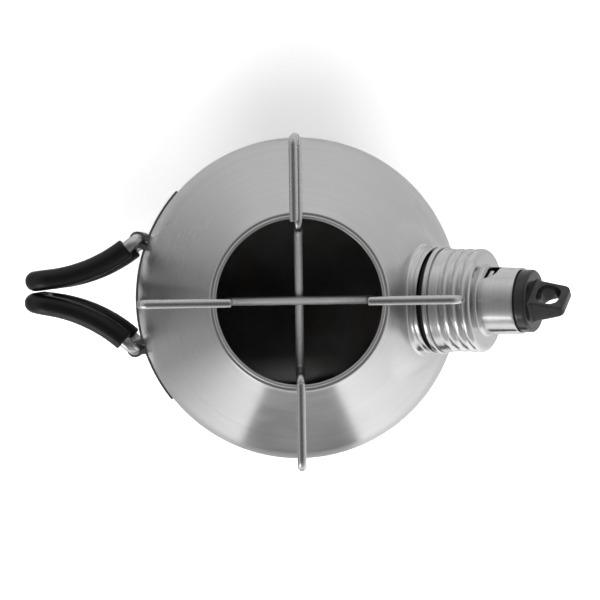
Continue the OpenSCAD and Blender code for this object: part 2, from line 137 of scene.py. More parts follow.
# What fine marks add to the roughness: brushed rings, drawing marks, and rings on steel from the fire
RING_ROUGHNESS = 0.1
MARK_ROUGHNESS = 0.08
FIRED_RING_ROUGHNESS = 0.16
# Roughness of that steel without its rings
FIRED_ROUGHNESS = 0.32
# Drop of the flue scale's edge below the rim, and heights over which scale and soot fade in
SCALE_DROP = 6 * MM
SCALE_FADE = 8 * MM
SOOT_FADE = 2 * MM

# Camera's sensor and lens in millimetres
SENSOR_WIDTH = 36.0
LENS = 132.0
# Distances along X from the axis between which the floor's glow rises
GLOW_NEAR = 20 * MM
GLOW_FAR = 55 * MM
# Sines of the elevations between which the studio's brightness changes
ROOM_LOW_SINE = 0.3
ROOM_HIGH_SINE = 0.95
# Half the floor's width, and the point that the lights aim at, in metres
FLOOR_HALF = 8.0
LIGHT_AIM = Vector((0.0, 0.0, 0.12))
# Lights: azimuth and elevation in degrees, distance, width and height in metres, watts, mirrored or not
LIGHTS = (
    ("key_box", 275.0, 62.0, 1.6, 1.6, 1.0, 28.0, False),
    ("near_left_box", 234.0, 11.0, 1.0, 0.36, 0.42, 1.3, True),
)
# Graded cards: first azimuth in degrees and brightness there, last azimuth and brightness there,
# nearest and farthest distance from the kettle's axis in metres
CARDS = (
    ("rear_right_card", 15, 0.58, 75, 0.75, 0.2, 4.0),
    ("rear_card", 75, 0.75, 115, 0.7, 0.2, 4.0),
    ("rear_left_card", 115, 0.7, 165, 0.27, 0.2, 4.0),
    ("left_card", 165, 0.27, 205, 0.33, 0.2, 4.0),
    ("near_left_card", 205, 0.33, 249, 1.25, 0.2, 4.0),
    ("near_card", 249, 0.01, 293, 0.01, 0.2, 0.38),
    ("far_near_card", 249, 1.1, 293, 1.1, 0.38, 4.0),
    ("near_right_card", 293, 1.4, 375, 0.58, 0.2, 4.0),
    ("near_left_foot_card", 205, 0.45, 290, 0.62, 0.085, 0.2),
    ("near_right_foot_card", 290, 0.85, 375, 0.65, 0.085, 0.2),
)
# The cards lie a little above the floor
CARD_LIFT = 0.002


def linear(hex_code):
    """An sRGB hex value as linear red, green, blue and alpha."""
    parts = [int(hex_code[i : i + 2], 16) / 255 for i in (1, 3, 5)]
    curve = [p / 12.92 if p <= 0.04045 else ((p + 0.055) / 1.055) ** 2.4 for p in parts]
    return (*curve, 1.0)


def length(name, millimetres, description):
    """A size that a user may change, shown in the scene's units."""
    return bpy.props.FloatProperty(
        name=name,
        description=description,
        default=millimetres * MM,
        precision=5,
        unit="LENGTH",
        subtype="DISTANCE",
    )


def turn(name, degrees, description):
    """An angle that a user may change."""
    return bpy.props.FloatProperty(
        name=name,
        description=description,
        default=math.radians(degrees),
        unit="ROTATION",
        subtype="ANGLE",
    )


def level(name, value, description):
    """A brightness that a user may change."""
    return bpy.props.FloatProperty(name=name, description=description, default=value, min=0.0)


def colour(name, hex_code, description):
    """A colour that a user may change."""
    return bpy.props.FloatVectorProperty(
        name=name,
        description=description,
        default=linear(hex_code),
        size=4,
        min=0.0,
        max=1.0,
        subtype="COLOR",
    )


class KettleBodySettings(bpy.types.PropertyGroup):
    """Sizes of the spun jacket and its chimney mouth."""

    wall_d: length("Wall diameter", 158.0, "Outer diameter of the kettle's wall")
    foot_z: length("Foot height", 60.3, "Height of the kettle's foot edge above the floor")
    rim_z: length("Rim height", 222.3, "Height of the chimney's rim above the floor")
    sheet: length("Sheet", 1.0, "Thickness of the sheet steel")
    cone_angle: turn("Cone angle", 26.0, "Angle of the cone from the vertical")
    shoulder_r: length("Shoulder radius", 50.0, "Rounding between cone and wall")
    seam_d: length("Seam diameter", 82.0, "Diameter of the folded seam round the mouth")
    seam_round: length("Seam rounding", 0.9, "Rounding of the folded seam")
    seam_rise: length("Seam rise", 1.2, "Height of the folded seam above the cone's end")
    mouth_d: length("Mouth diameter", 75.0, "Clear diameter of the chimney's mouth")
    lip_d: length("Lip bead", 1.8, "Diameter of the rolled bead round the mouth")


class KettleSpoutSettings(bpy.types.PropertyGroup):
    """Sizes of the spout's neck and its gasket."""

    spout_r: length("Spout distance", 60.4, "Distance from the axis at which the spout leaves the cone")
    neck_d: length("Neck diameter", 43.6, "Outer diameter of the threaded neck")
    neck_end: length("Neck length", 26.6, "Length of the neck above the cone")
    collar_d: length("Collar diameter", 50.4, "Outer diameter of the collar")
    collar_rise: length("Collar height", 4.5, "Height of the collar above the cone")
    foot_fillet: length("Foot fillet", 1.2, "Radius of the fillet between collar and cone")
    bead_h: length("Bead height", 2.7, "Height of the collar's bead above the cone")
    bead_groove: length("Bead groove", 0.5, "Width of the groove above the bead")
    lip: length("Collar lip", 1.4, "Width of the lip that holds the gasket")
    seat: length("Gasket seat", 3.4, "Height of the gasket's seat above the cone")
    gasket_t: length("Gasket", 3.5, "Thickness of the gasket ring")
    gasket_inset: length("Gasket inset", 0.6, "How far the gasket stays inside its seat")
    boss_in: length("Boss inner radius", 26.0, "Radius up to which the cone is pressed out round the spout")
    boss_out: length("Boss outer radius", 39.0, "Radius at which the pressed boss runs out into the cone")
    lip_rise: length("Lip rise", 1.1, "How much higher the collar's lip stands at its sides than on top")
    thread_pitch: length("Thread pitch", 4.6, "Advance of the cap in one turn")
    thread_depth: length("Thread depth", 0.7, "Depth of the neck's rolled thread")


class KettleCapSettings(bpy.types.PropertyGroup):
    """Sizes of the screw cap."""

    hem_s: length("Hem station", 7.0, "Distance of the cap's hem from the cone, along the spout")
    hem_h: length("Hem height", 2.5, "Height of the rolled hem")
    hem_proud: length("Hem proud", 1.3, "How far the hem stands out from the skirt")
    skirt_d: length("Skirt diameter", 48.2, "Outer diameter of the skirt")
    skirt_h: length("Skirt height", 20.5, "Height of the skirt from its hem to the face")
    groove: length("Groove", 0.6, "Width and depth of the groove above the hem")
    wall: length("Wall", 1.5, "Thickness of the skirt with its ridges")
    face_t: length("Face", 0.8, "Thickness of the cap's face")
    face_round: length("Face rounding", 2.4, "Rounding between skirt and face")
    plain_band: length("Plain band", 4.3, "Height of the smooth band below the thread")
    band_taper: length("Band taper", 0.45, "How much wider the smooth band is at the hem")
    crease: length("Crease depth", 1.0, "Depth of the thread's creases in the skirt")
    tower_bore_d: length("Tower bore", 29.0, "Diameter of the hole under the tower")
    tower_d: length("Tower foot", 31.4, "Outer diameter of the tower at its foot")
    tower_top_d: length("Tower top", 30.6, "Outer diameter of the tower at its top")
    tower_h: length("Tower height", 17.6, "Height of the tower")
    tower_fillet: length("Tower fillet", 1.5, "Fillet round the tower's foot")
    mouth_sill: length("Mouth sill", 2.7, "Height of the whistle mouth's sill above the face")
    mouth_h: length("Mouth height", 5.2, "Height of the whistle mouth")
    mouth_w: length("Mouth width", 15.0, "Width of the whistle mouth")
    mouth_round: length("Mouth rounding", 4.4, "Rounding of the whistle mouth's upper corners")
    mouth_turn: turn("Mouth turn", 70.0, "Turn of the whistle mouth from the top towards the far side")
    mouth_lean: length("Mouth lean", 2.4, "How far the near end of the whistle mouth leans")
    tongue_w: length("Tongue width", 5.4, "Width of the tongue inside the whistle mouth")
    tongue_h: length("Tongue height", 1.8, "Height of the tongue inside the whistle mouth")
    tongue_r: length("Tongue distance", 14.2, "Distance of the tongue from the spout's axis")
    tongue_side: length("Tongue offset", 0.2, "Sideways place of the tongue")
    tongue_turn: turn("Tongue turn", 60.0, "Turn of the tongue from the top towards the far side")


class KettleKnobSettings(bpy.types.PropertyGroup):
    """Sizes of the moulded knob and its loop."""

    disc_d: length("Disc diameter", 29.0, "Diameter of the knob's disc")
    disc_s: length("Disc station", 47.6, "Distance of the disc from the cone, along the spout")
    disc_h: length("Disc height", 5.8, "Height of the disc")
    disc_round: length("Disc rounding", 1.2, "Rounding of the disc's front edge")
    rebate: length("Rebate", 0.7, "Width and depth of the rebate between tower and disc")
    plug_d: length("Plug diameter", 28.9, "Diameter of the plug inside the tower")
    plug_h: length("Plug length", 6.0, "Length of the plug inside the tower")
    tab_w: length("Tab width", 17.0, "Width of the loop tab at the disc")
    tab_tip_w: length("Tab tip width", 16.4, "Width of the loop tab near its tip")
    tab_l: length("Tab length", 15.6, "Length of the loop tab beyond the disc")
    tab_t: length("Tab thickness", 12.2, "Thickness of the loop tab at the disc")
    tab_tip_t: length("Tab tip thickness", 4.3, "Thickness of the loop tab at its tip")
    tab_round: length("Tab rounding", 2.6, "Rounding of the loop tab's corners")
    tab_fillet: length("Tab fillet", 2.4, "Fillet between the tab's narrow sides and the disc")
    loop_w: length("Loop width", 12.4, "Width of the loop's hole")
    loop_l: length("Loop length", 10.0, "Length of the loop's hole")
    loop_round: length("Loop rounding", 4.4, "Rounding of the hole's corners")
    loop_rim: length("Loop rim", 3.4, "Width of the rim beyond the hole")
    edge: length("Edge rounding", 0.6, "Rounding of the loop tab's edges")
    tab_turn: turn("Tab turn", 38.0, "Turn of the loop tab round the spout's axis")


class KettleHandleSettings(bpy.types.PropertyGroup):
    """Sizes of the folding wire handles and their sleeves."""

    wire_d: length("Wire diameter", 6.0, "Diameter of the handle wire")
    sleeve_d: length("Sleeve diameter", 10.0, "Outer diameter of the silicone sleeve")
    sleeve_round: length("Sleeve rounding", 0.9, "Rounding of the sleeve's ends")
    sleeve_bare: turn("Bare length", 0.2, "Part of the long curve that the sleeve leaves bare")
    hinge_x: length("Hinge distance", -79.787, "Distance of the hinges behind the axis")
    hinge_y: length("Hinge spread", 26.9, "Distance of each hinge from the centre plane")
    handle_z: length("Handle height", 110.3, "Height of the handles' middle above the floor")
    handle_h: length("Loop height", 58.0, "Distance between the two legs of a loop")
    hinge_bend_r: length("Hinge bend", 6.0, "Bend radius next to the hinge")
    tip_bend_r: length("Tip bend", 8.0, "Bend radius at the tip")
    curve_r: length("Curve radius", 74.0, "Radius of the handle's long curve")
    in_angle: turn("Inner angle", 40.0, "Angle to the centre plane at the hinge")
    out_angle: turn("Outer angle", 8.0, "Angle to the centre plane at the tip")
    skew: turn("Skew", 1.3, "Turn of the bracket and the handles round the kettle")


class KettleSupportSettings(bpy.types.PropertyGroup):
    """Sizes of the bent wires of the pot support."""

    wire_d: length("Wire diameter", 4.0, "Diameter of the support wire")
    end_round: length("End rounding", 0.5, "Rounding of the wires' cut ends")
    arm_rise: length("Arm height", 8.0, "Distance between the two runs of an arm")
    low_run_z: length("Lower run", 224.6, "Height of the lower runs above the floor")
    crossing_z: length("Crossing", 190.3, "Height of the lower wire's crossing above the floor")
    leg_r: length("Leg distance", 33.5, "Distance of the legs from the axis")
    leg_bend_r: length("Leg bend", 4.0, "Bend radius of the legs")
    long_reach: length("Reach along", 73.4, "Reach of the wire along the spout's direction")
    cross_reach: length("Reach across", 75.9, "Reach of the wire across it")
    long_free_end: length("Free end along", 30.5, "Distance of the upper wire's ends from the axis")
    cross_free_end: length("Free end across", 36.0, "Distance of the lower wire's ends from the axis")
    turn_z: turn("Turn", 0.9, "Turn of the support in the mouth")
    rear_lean: turn("Rear lean", 14.0, "Sideways lean of the arm on the far side")


class KettleFinishSettings(bpy.types.PropertyGroup):
    """Colours of the finishes."""

    steel: colour("Steel", "#D6D5D6", "Brushed stainless steel")
    # The handle bracket's steel: the jacket's steel, made darker
    strip: colour("Strip", "#9A999A", "Rolled steel strip")
    wire: colour("Wire", "#CFCECE", "Drawn steel wire")
    soot: colour("Soot", "#0B0B0C", "Soot in the chimney and the bowl")
    heat: colour("Heat tint", "#B7A58C", "Steel tinted by the fire")
    silicone: colour("Silicone", "#08080A", "Black silicone rubber")
    plastic: colour("Plastic", "#1C1C1D", "Moulded black plastic")


class KettleStageSettings(bpy.types.PropertyGroup):
    """Camera, floor and light."""

    camera_x: length("Camera X", -5.9, "Camera's place along the spout's direction")
    camera_y: length("Camera Y", 20.2, "Camera's place across it")
    camera_z: length("Camera height", 1215.0, "Camera's height above the floor")
    tilt_x: turn("Tilt X", -1.12, "Camera's tilt round X")
    tilt_y: turn("Tilt Y", -0.355, "Camera's tilt round Y")
    floor: colour("Floor", "#F2F2F2", "Pale studio floor")
    floor_glow: level("Floor glow", 0.52, "Light that the floor gives off to the camera")
    side_glow: level("Side glow", 0.09, "How much more light it gives off beside the kettle")
    room_fill: level("Room fill", 0.3, "Brightness of the studio as it lights matt surfaces")
    room_low: level("Room low", 0.8, "Brightness of the studio near the horizon")
    room_high: level("Room overhead", 0.16, "Brightness of the studio overhead")
    room_far: level("Room far", 0.16, "How much brighter the studio is on the far side")
    room_right: level("Room right", 0.03, "How much brighter the studio is on the spout's side")


def node(tree, kind, inputs=None, **settings):
    """Adds a node with its settings; an input is a value or another node's output."""
    made = tree.nodes.new(kind)
    for key, value in settings.items():
        setattr(made, key, value)
    for key, value in (inputs or {}).items():
        if isinstance(value, bpy.types.NodeSocket):
            tree.links.new(value, made.inputs[key])
        else:
            made.inputs[key].default_value = value
    return made


def new_material(name):
    """An empty node material and its node tree."""
    material = bpy.data.materials.new(name)
    material.use_nodes = True
    material.node_tree.nodes.clear()
    return material, material.node_tree


def spout_matrix(context):
    """Place of the spout: local Z along its axis, local -X upwards."""
    body = context.scene.kettle_body
    spout = context.scene.kettle_spout
    cone_top = body.rim_z - body.lip_d
    z = cone_top - (spout.spout_r - body.seam_d / 2) / math.tan(body.cone_angle)
    place = Matrix.Translation((spout.spout_r, 0.0, z))
    return place @ Matrix.Rotation(QUARTER - body.cone_angle, 4, "Y")


def spun_steel(name, shade, axis, centre, smoothest, roughest, stretch):
    """Stainless sheet, spun on a lathe and brushed while it turned.

    Fine rings run round the axis, so highlights spread across them into long wedges, and faint
    clouds of handling marks, about 38 mm wide, break the gloss. The rings are drawn 0.35 mm apart
    to show in the render.
    """
    material, tree = new_material(name)
    place = node(tree, "ShaderNodeTexCoord").outputs["Object"]
    to_axis = axis.rotation_difference(Z_AXIS)
    moved = node(tree, "ShaderNodeVectorMath", {0: place, 1: centre}, operation="SUBTRACT")
    turned = node(tree, "ShaderNodeMapping", {"Vector": moved.outputs[0], "Rotation": to_axis.to_euler()})
    rings = node(tree, "ShaderNodeMapping", {"Vector": turned.outputs[0], "Scale": RING_SCALE})
    brush = node(
        tree,
        "ShaderNodeTexNoise",
        {"Vector": rings.outputs[0], "Scale": 1.0, "Detail": 3.0, "Roughness": 0.65},
    )
    clouds = node(
        tree,
        "ShaderNodeTexNoise",
        {"Vector": turned.outputs[0], "Scale": 1 / (38 * MM), "Detail": 3.0, "Roughness": 0.55},
    )
    gloss = node(
        tree,
        "ShaderNodeMapRange",
        {"Value": clouds.outputs["Fac"], **NOISE_RANGE, "To Min": smoothest, "To Max": roughest},
    )
    streak = node(
        tree,
        "ShaderNodeMath",
        {0: brush.outputs["Fac"], 1: RING_ROUGHNESS, 2: gloss.outputs[0]},
        operation="MULTIPLY_ADD",
    )
    lighter = node(
        tree,
        "ShaderNodeMapRange",
        {"Value": brush.outputs["Fac"], **NOISE_RANGE, "To Min": 0.9, "To Max": 1.06},
    )
    tint = node(
        tree,
        "ShaderNodeVectorMath",
        {0: shade[:3], "Scale": lighter.outputs[0]},
        operation="SCALE",
    )
    bump = node(
        tree,
        "ShaderNodeBump",
        {"Height": brush.outputs["Fac"], "Strength": 0.12, "Distance": 0.05 * MM},
    )
    along = node(tree, "ShaderNodeCombineXYZ", {"X": axis.x, "Y": axis.y, "Z": axis.z})
    shader = node(
        tree,
        "ShaderNodeBsdfPrincipled",
        {
            "Base Color": tint.outputs[0],
            "Metallic": 1.0,
            "Roughness": streak.outputs[0],
            "Anisotropic": stretch,
            "Tangent": along.outputs[0],
            "Normal": bump.outputs[0],
        },
    )
    node(tree, "ShaderNodeOutputMaterial", {"Surface": shader.outputs[0]})
    return material


def drawn_wire(context, name, dull_z):
    """Stainless wire, drawn through a die and tumbled.

    Its gloss is closer to a polish than the sheet's, with faint drawing marks about 1.2 mm wide and
    clouds about 14 mm wide. Below the dull height the hot flue gas has left a thin scale that
    scatters the light.
    """
    finish = context.scene.kettle_finish
    material, tree = new_material(name)
    place = node(tree, "ShaderNodeTexCoord").outputs["Object"]
    split = node(tree, "ShaderNodeSeparateXYZ", {"Vector": place})
    scale = node(
        tree,
        "ShaderNodeMapRange",
        {"Value": split.outputs["Z"], "From Min": dull_z, "From Max": dull_z - SCALE_FADE},
    )
    marks = node(
        tree,
        "ShaderNodeTexNoise",
        {"Vector": place, "Scale": 1 / (1.2 * MM), "Detail": 2.0, "Roughness": 0.6},
    )
    clouds = node(tree, "ShaderNodeTexNoise", {"Vector": place, "Scale": 1 / (14 * MM), "Detail": 2.0})
    gloss = node(
        tree,
        "ShaderNodeMapRange",
        {"Value": clouds.outputs["Fac"], **NOISE_RANGE, "To Min": 0.2, "To Max": 0.3},
    )
    marked = node(
        tree,
        "ShaderNodeMath",
        {0: marks.outputs["Fac"], 1: MARK_ROUGHNESS, 2: gloss.outputs[0]},
        operation="MULTIPLY_ADD",
    )
    rough = node(
        tree,
        "ShaderNodeMapRange",
        {"Value": scale.outputs[0], "To Min": marked.outputs[0], "To Max": 0.38},
    )
    bare = node(tree, "ShaderNodeMapRange", {"Value": scale.outputs[0], "To Min": 1.0, "To Max": 0.7})
    lighter = node(
        tree,
        "ShaderNodeMapRange",
        {"Value": marks.outputs["Fac"], **NOISE_RANGE, "To Min": 0.93, "To Max": 1.04},
    )
    tint = node(
        tree,
        "ShaderNodeVectorMath",
        {0: finish.wire[:3], "Scale": lighter.outputs[0]},
        operation="SCALE",
    )
    bump = node(
        tree,
        "ShaderNodeBump",
        {"Height": marks.outputs["Fac"], "Strength": 0.05, "Distance": 0.02 * MM},
    )
    shader = node(
        tree,
        "ShaderNodeBsdfPrincipled",
        {
            "Base Color": tint.outputs[0],
            "Metallic": bare.outputs[0],
            "Roughness": rough.outputs[0],
            "Normal": bump.outputs[0],
        },
    )
    node(tree, "ShaderNodeOutputMaterial", {"Surface": shader.outputs[0]})
    return material


def sooted_steel(context, name, bare_z):
    """Stainless sheet that stands in the fire.

    Faces that look at the axis, below the bare height, carry dull black soot in flakes of about
    2.5 mm; the rest is brushed steel, below that height with a straw heat tint that comes and goes
    in clouds about 30 mm wide.
    """
    finish = context.scene.kettle_finish
    material, tree = new_material(name)
    place = node(tree, "ShaderNodeTexCoord").outputs["Object"]
    split = node(tree, "ShaderNodeSeparateXYZ", {"Vector": place})
    flat = node(tree, "ShaderNodeCombineXYZ", {"X": split.outputs["X"], "Y": split.outputs["Y"]})
    out = node(tree, "ShaderNodeVectorMath", {0: flat.outputs[0]}, operation="NORMALIZE")
    facing = node(tree, "ShaderNodeNewGeometry").outputs["Normal"]
    outward = node(
        tree,
        "ShaderNodeVectorMath",
        {0: out.outputs[0], 1: facing},
        operation="DOT_PRODUCT",
    )
    inside = node(
        tree,
        "ShaderNodeMapRange",
        {"Value": outward.outputs["Value"], "From Min": 0.05, "From Max": -0.05},
    )
    below = node(
        tree,
        "ShaderNodeMapRange",
        {"Value": split.outputs["Z"], "From Min": bare_z, "From Max": bare_z - SOOT_FADE},
    )
    soot_mask = node(
        tree,
        "ShaderNodeMath",
        {0: inside.outputs[0], 1: below.outputs[0]},
        operation="MULTIPLY",
    )
    flakes = node(
        tree,
        "ShaderNodeTexNoise",
        {"Vector": place, "Scale": 1 / (2.5 * MM), "Detail": 5.0, "Roughness": 0.7},
    )
    rings = node(tree, "ShaderNodeMapping", {"Vector": place, "Scale": RING_SCALE})
    brush = node(tree, "ShaderNodeTexNoise", {"Vector": rings.outputs[0], "Scale": 1.0, "Detail": 3.0})
    bands = node(tree, "ShaderNodeTexNoise", {"Vector": place, "Scale": 1 / (30 * MM), "Detail": 3.0})
    tinted = node(
        tree,
        "ShaderNodeMapRange",
        {"Value": bands.outputs["Fac"], "From Min": 0.42, "From Max": 0.68, "To Max": 0.55},
    )
    straw = node(
        tree,
        "ShaderNodeMath",
        {0: tinted.outputs[0], 1: below.outputs[0]},
        operation="MULTIPLY",
    )
    steel = node(tree, "ShaderNodeMixRGB", {0: straw.outputs[0], 1: finish.steel, 2: finish.heat})
    surface = node(tree, "ShaderNodeMixRGB", {0: soot_mask.outputs[0], 1: steel.outputs[0], 2: finish.soot})
    bare = node(tree, "ShaderNodeMath", {0: 1.0, 1: soot_mask.outputs[0]}, operation="SUBTRACT")
    gloss = node(
        tree,
        "ShaderNodeMath",
        {0: brush.outputs["Fac"], 1: FIRED_RING_ROUGHNESS, 2: FIRED_ROUGHNESS},
        operation="MULTIPLY_ADD",
    )
    rough = node(
        tree,
        "ShaderNodeMapRange",
        {"Value": soot_mask.outputs[0], "To Min": gloss.outputs[0], "To Max": 0.92},
    )
    crust = node(
        tree,
        "ShaderNodeMath",
        {0: flakes.outputs["Fac"], 1: soot_mask.outputs[0]},
        operation="MULTIPLY",
    )
    bump = node(tree, "ShaderNodeBump", {"Height": crust.outputs[0], "Strength": 0.5, "Distance": 0.2 * MM})
    shader = node(
        tree,
        "ShaderNodeBsdfPrincipled",
        {
            "Base Color": surface.outputs[0],
            "Metallic": bare.outputs[0],
            "Roughness": rough.outputs[0],
            "Specular IOR Level": 0.1,
            "Normal": bump.outputs[0],
        },
    )
    node(tree, "ShaderNodeOutputMaterial", {"Surface": shader.outputs[0]})
    return material


def moulded_black(name, tint, grain, smoothest, roughest, depth, ior):
    """Black polymer from a mould: silicone rubber with a soft bloom, or plastic with a spark-eroded grain.

    The grain, given by its size, dimples the surface and lifts the black a little, and faint clouds
    of dust, about 9 mm wide, change the gloss.
    """
    material, tree = new_material(name)
    place = node(tree, "ShaderNodeTexCoord").outputs["Object"]
    fine = node(
        tree,
        "ShaderNodeTexNoise",
        {"Vector": place, "Scale": 1 / grain, "Detail": 3.0, "Roughness": 0.6},
    )
    bloom = node(tree, "ShaderNodeTexNoise", {"Vector": place, "Scale": 1 / (9 * MM), "Detail": 2.0})
    rough = node(
        tree,
        "ShaderNodeMapRange",
        {"Value": bloom.outputs["Fac"], **NOISE_RANGE, "To Min": smoothest, "To Max": roughest},
    )
    lift = node(
        tree,
        "ShaderNodeMapRange",
        {"Value": fine.outputs["Fac"], **NOISE_RANGE, "To Min": 0.8, "To Max": 1.25},
    )
    shade = node(tree, "ShaderNodeVectorMath", {0: tint[:3], "Scale": lift.outputs[0]}, operation="SCALE")
    bump = node(
        tree,
        "ShaderNodeBump",
        {"Height": fine.outputs["Fac"], "Strength": 0.25, "Distance": depth},
    )
    shader = node(
        tree,
        "ShaderNodeBsdfPrincipled",
        {
            "Base Color": shade.outputs[0],
            "Roughness": rough.outputs[0],
            "IOR": ior,
            "Normal": bump.outputs[0],
        },
    )
    node(tree, "ShaderNodeOutputMaterial", {"Surface": shader.outputs[0]})
    return material


def finish_for(context, key):
    """The material of a finish, made the first time that a piece asks for it."""
    name = {
        "body": "spun stainless steel",
        "strip": "darker rolled steel strip",
        "cap": "spun stainless steel on the spout",
        "wire": "drawn steel wire",
        "support": "drawn steel wire with flue scale",
        "flue": "sooted stainless flue",
        "bowl": "sooted stainless bowl",
        "silicone": "black silicone rubber",
        "plastic": "moulded black plastic",
    }[key]
    made = bpy.data.materials.get(name)
    if made:
        return made
    finish = context.scene.kettle_finish
    body = context.scene.kettle_body
    place = spout_matrix(context)
    if key == "body":
        return spun_steel(
            name, finish.steel, Z_AXIS, ORIGIN, smoothest=0.22, roughest=0.3, stretch=0.6
        )
    # The bracket gets the jacket's spun steel with a darker colour
    if key == "strip":
        return spun_steel(
            name, finish.strip, Z_AXIS, ORIGIN, smoothest=0.26, roughest=0.34, stretch=0.4
        )
    if key == "cap":
        axis = place.to_3x3() @ Z_AXIS
        return spun_steel(
            name, finish.steel, axis, place.translation, smoothest=0.14, roughest=0.22, stretch=0.3
        )
    if key == "wire":
        return drawn_wire(context, name, dull_z=0.0)
    if key == "support":
        return drawn_wire(context, name, dull_z=body.rim_z - SCALE_DROP)
    if key == "flue":
        return sooted_steel(context, name, bare_z=body.rim_z - body.lip_d)
    if key == "bowl":
        return sooted_steel(context, name, bare_z=body.foot_z)
    if key == "silicone":
        return moulded_black(
            name, finish.silicone, 0.5 * MM, smoothest=0.32, roughest=0.42, depth=0.02 * MM, ior=1.42
        )
    return moulded_black(
        name, finish.plastic, 0.4 * MM, smoothest=0.16, roughest=0.26, depth=0.02 * MM, ior=1.58
    )


def refinish(context, name, key):
    """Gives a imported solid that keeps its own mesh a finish."""
    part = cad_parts[name]
    part.data.materials.clear()
    part.data.materials.append(finish_for(context, key))


def only(geom, kind):
    """The elements of one kind in an operator's result."""
    return [element for element in geom if isinstance(element, kind)]


def round_corners(mesh, verts, roundings, segments):
    """Rounds the corners of a drawn outline, each by its own radius."""
    points = [vert.co.copy() for vert in verts]
    for i, rounding in enumerate(roundings):
        if rounding <= 0.0:
            continue
        back = points[i - 1] - points[i]
        ahead = points[(i + 1) % len(points)] - points[i]
        corner = math.pi - back.angle(ahead)
        bmesh.ops.bevel(
            mesh,
            geom=[verts[i]],
            offset=rounding * math.tan(corner / 2),
            offset_type="OFFSET",
            affect="VERTICES",
            segments=SHOULDER_SEGMENTS if rounding > WIDE_ROUND else segments,
            profile=0.5,
            material=-1,
        )


def round_edges(mesh, edges, rounding):
    """Rounds edges of a mesh."""
    bmesh.ops.bevel(
        mesh,
        geom=edges,
        offset=rounding,
        offset_type="OFFSET",
        affect="EDGES",
        segments=EDGE_SEGMENTS,
        profile=0.5,
        material=-1,
    )


def lathe_profile(mesh, corners, closed=True):
    """Draws a half section from (radius, height, rounding) corners and rounds them."""
    verts = [mesh.verts.new((r, 0.0, z)) for r, z, _ in corners]
    ends = verts[1:] + verts[:1] if closed else verts[1:]
    for pair in zip(verts, ends):
        mesh.edges.new(pair)
    round_corners(mesh, verts, [rounding for _, _, rounding in corners], ROUND_SEGMENTS)


def split_long_edges(mesh, longest):
    """Cuts each profile edge that is longer than a limit into equal parts."""
    for edge in list(mesh.edges):
        cuts = int(edge.calc_length() / longest)
        if cuts > 0:
            bmesh.ops.subdivide_edges(mesh, edges=[edge], cuts=cuts)


def spin_round(mesh, steps):
    """Spins the drawn profile a full turn round the local Z axis."""
    bmesh.ops.spin(
        mesh,
        geom=mesh.verts[:] + mesh.edges[:],
        cent=ORIGIN,
        axis=Z_AXIS,
        angle=FULL_TURN,
        steps=steps,
        use_merge=True,
    )
    bmesh.ops.remove_doubles(mesh, verts=mesh.verts, dist=WELD)


def lathe(corners, steps, longest=None, closed=True):
    """A turned solid from its half section."""
    mesh = bmesh.new()
    lathe_profile(mesh, corners, closed)
    if longest:
        split_long_edges(mesh, longest)
    spin_round(mesh, steps)
    return mesh


def roll_thread(mesh, radius, start, end, pitch, depth, fade):
    """Presses a right-hand helical crease into a turned wall, fading out at both ends."""
    for vert in mesh.verts:
        x, y, z = vert.co
        r = math.hypot(x, y)
        if abs(r - radius) > WALL_REACH or not start < z < end:
            continue
        phase = (z - start) / pitch - math.atan2(y, x) / FULL_TURN
        crease = (1 - abs(math.sin(math.pi * phase))) ** CREASE_SHARPNESS
        ends = min(1.0, (z - start) / fade, (end - z) / fade)
        move = (r - depth * crease * ends) / r
        vert.co.x *= move
        vert.co.y *= move


def cone_drop(context, x, y):
    """How far the cone falls away below the spout's square plane, at a place in that plane."""
    body = context.scene.kettle_body
    spout = context.scene.kettle_spout
    curve_r = (spout.spout_r + x * math.sin(body.cone_angle)) / math.cos(body.cone_angle)
    return curve_r - math.sqrt(curve_r**2 - y**2)


def new_object(mesh, name):
    """Links an object made of a worked mesh to the scene and frees the mesh."""
    data = bpy.data.meshes.new(name)
    mesh.to_mesh(data)
    mesh.free()
    made = bpy.data.objects.new(name, data)
    bpy.context.scene.collection.objects.link(made)
    return made


def finish_piece(mesh, name, material, body, nodes, smooth=SHARP_ANGLE):
    """Turns a worked mesh into a finished piece that stands for its solids."""
    bmesh.ops.remove_doubles(mesh, verts=mesh.verts, dist=WELD)
    bmesh.ops.recalc_face_normals(mesh, faces=mesh.faces)
    piece = new_object(mesh, name)
    piece.data.materials.append(material)
    smooth_faces(piece.data, smooth)
    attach(piece, body)
    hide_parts(*nodes)
    return piece


def smooth_faces(data, angle):
    """Shades a mesh smooth, with crisp edges where it turns sharply."""
    data.shade_smooth()
    data.set_sharp_from_angle(angle=angle)


def cut_away(piece, tool):
    """Cuts a tool's solid out of a piece and keeps the result as the piece's mesh."""
    bmesh.ops.recalc_face_normals(tool, faces=tool.faces)
    cutter = new_object(tool, "cutter")
    modifier = piece.modifiers.new("cut", "BOOLEAN")
    modifier.operation = "DIFFERENCE"
    modifier.solver = "EXACT"
    modifier.object = cutter
    graph = bpy.context.evaluated_depsgraph_get()
    cut = bpy.data.meshes.new_from_object(piece.evaluated_get(graph))
    piece.modifiers.clear()
    used = (piece.data, cutter.data)
    piece.data = cut
    cut.name = piece.name
    bpy.data.objects.remove(cutter)
    for data in used:
        bpy.data.meshes.remove(data)
    smooth_faces(cut, SHARP_ANGLE)


def take_in(mesh, other):
    """Adds another worked mesh to a mesh and frees it."""
    data = bpy.data.meshes.new("taken_in")
    other.to_mesh(data)
    other.free()
    mesh.from_mesh(data)
    bpy.data.meshes.remove(data)


def rounded_loop(mesh, corners, roundings):
    """Closed outline in the plane of local X and Z with rounded corners; returns its edges."""
    before = set(mesh.edges)
    verts = [mesh.verts.new((x, 0.0, z)) for x, z in corners]
    for pair in zip(verts, verts[1:] + verts[:1]):
        mesh.edges.new(pair)
    round_corners(mesh, verts, roundings, LOOP_SEGMENTS)
    return [edge for edge in mesh.edges if edge not in before]


